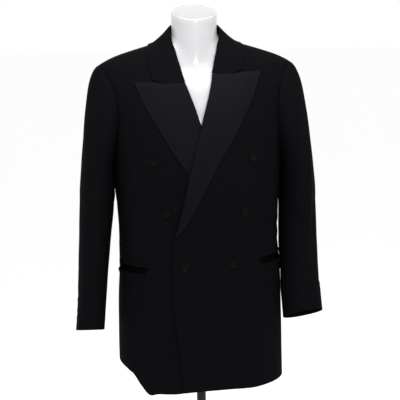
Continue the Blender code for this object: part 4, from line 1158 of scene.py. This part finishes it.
# Studio: a pale floor, an even pale surround and soft lamps from above and in front
studio = {
    "floorRadius": 40.0,
    "floorSides": 96,
    "floorHeight": -0.0005,
    "floorTone": (0.98, 0.98, 0.98),
    "floorFinish": {"Roughness": 0.9, "Specular IOR Level": 0.1},
    "surround": (1.0, 1.0, 1.0),
    "surroundStrength": 1.0,
}


def addStudio():
    bpy.ops.mesh.primitive_circle_add(
        vertices=studio["floorSides"],
        radius=studio["floorRadius"],
        fill_type="NGON",
        location=(0.0, 0.0, studio["floorHeight"]),
    )
    floor = bpy.context.object
    floor.name = "studio_floor"
    material = bpy.data.materials.new("paleFloor")
    material.use_nodes = True
    shader = material.node_tree.nodes["Principled BSDF"]
    shader.inputs["Base Color"].default_value = (*studio["floorTone"], 1.0)
    for socket, value in studio["floorFinish"].items():
        shader.inputs[socket].default_value = value
    floor.data.materials.append(material)
    world = bpy.data.worlds.new("studio")
    world.use_nodes = True
    background = world.node_tree.nodes["Background"]
    background.inputs["Color"].default_value = (*studio["surround"], 1.0)
    background.inputs["Strength"].default_value = studio["surroundStrength"]
    bpy.context.scene.world = world


# Where each lamp stands, what it is aimed at, its width and height, and its power
lamps = {
    "top": ((0.0, -0.3, 2.25), (0.0, 0.0, 1.3), (1.3, 0.7), 14.0),
    "front": ((0.55, -2.3, 2.7), (0.0, 0.0, 1.35), (0.9, 0.9), 6.0),
    "strip": ((0.10, -2.6, 1.95), (0.0, 0.0, 1.42), (0.20, 0.5), 12.0),
    "behind": ((0.0, 2.6, 2.4), (0.0, 0.0, 1.2), (1.4, 1.2), 16.0),
}


def addLamps():
    for name, (place, aim, size, power) in lamps.items():
        lamp = bpy.data.lights.new(name, "AREA")
        lamp.shape = "RECTANGLE"
        lamp.size, lamp.size_y = size
        lamp.energy = power
        holder = addObject(name, lamp)
        holder.location = place
        direction = Vector(aim) - Vector(place)
        holder.rotation_mode = "QUATERNION"
        holder.rotation_quaternion = direction.to_track_quat("-Z", "Y")


# Camera at the photograph's angle: turn and roll in degrees, the lens in the picture's pixels
cameraSetup = {
    "turn": -5.5,
    "offset": 0.006,
    "distance": 3.0,
    "height": 1.55,
    "aimHeight": 1.075,
    "roll": 1.1,
    "lensPixels": 1230.0,
    "pictureWidth": 400.0,
    "sensor": 36.0,
}


def addCamera():
    swing = Matrix.Rotation(math.radians(cameraSetup["turn"]), 3, "Z")
    place = swing @ Vector((cameraSetup["offset"], -cameraSetup["distance"], cameraSetup["height"]))
    aim = swing @ Vector((cameraSetup["offset"], 0.0, cameraSetup["aimHeight"]))
    camera = addObject("camera", bpy.data.cameras.new("camera"))
    facing = (aim - place).to_track_quat("-Z", "Y").to_matrix().to_4x4()
    roll = Matrix.Rotation(math.radians(-cameraSetup["roll"]), 4, "Z")
    camera.matrix_world = Matrix.Translation(place) @ facing @ roll
    camera.data.sensor_width = cameraSetup["sensor"]
    lensShare = cameraSetup["lensPixels"] / cameraSetup["pictureWidth"]
    camera.data.lens = lensShare * cameraSetup["sensor"]
    bpy.context.scene.camera = camera


addStudio()
addLamps()
addCamera()
print("studio made")
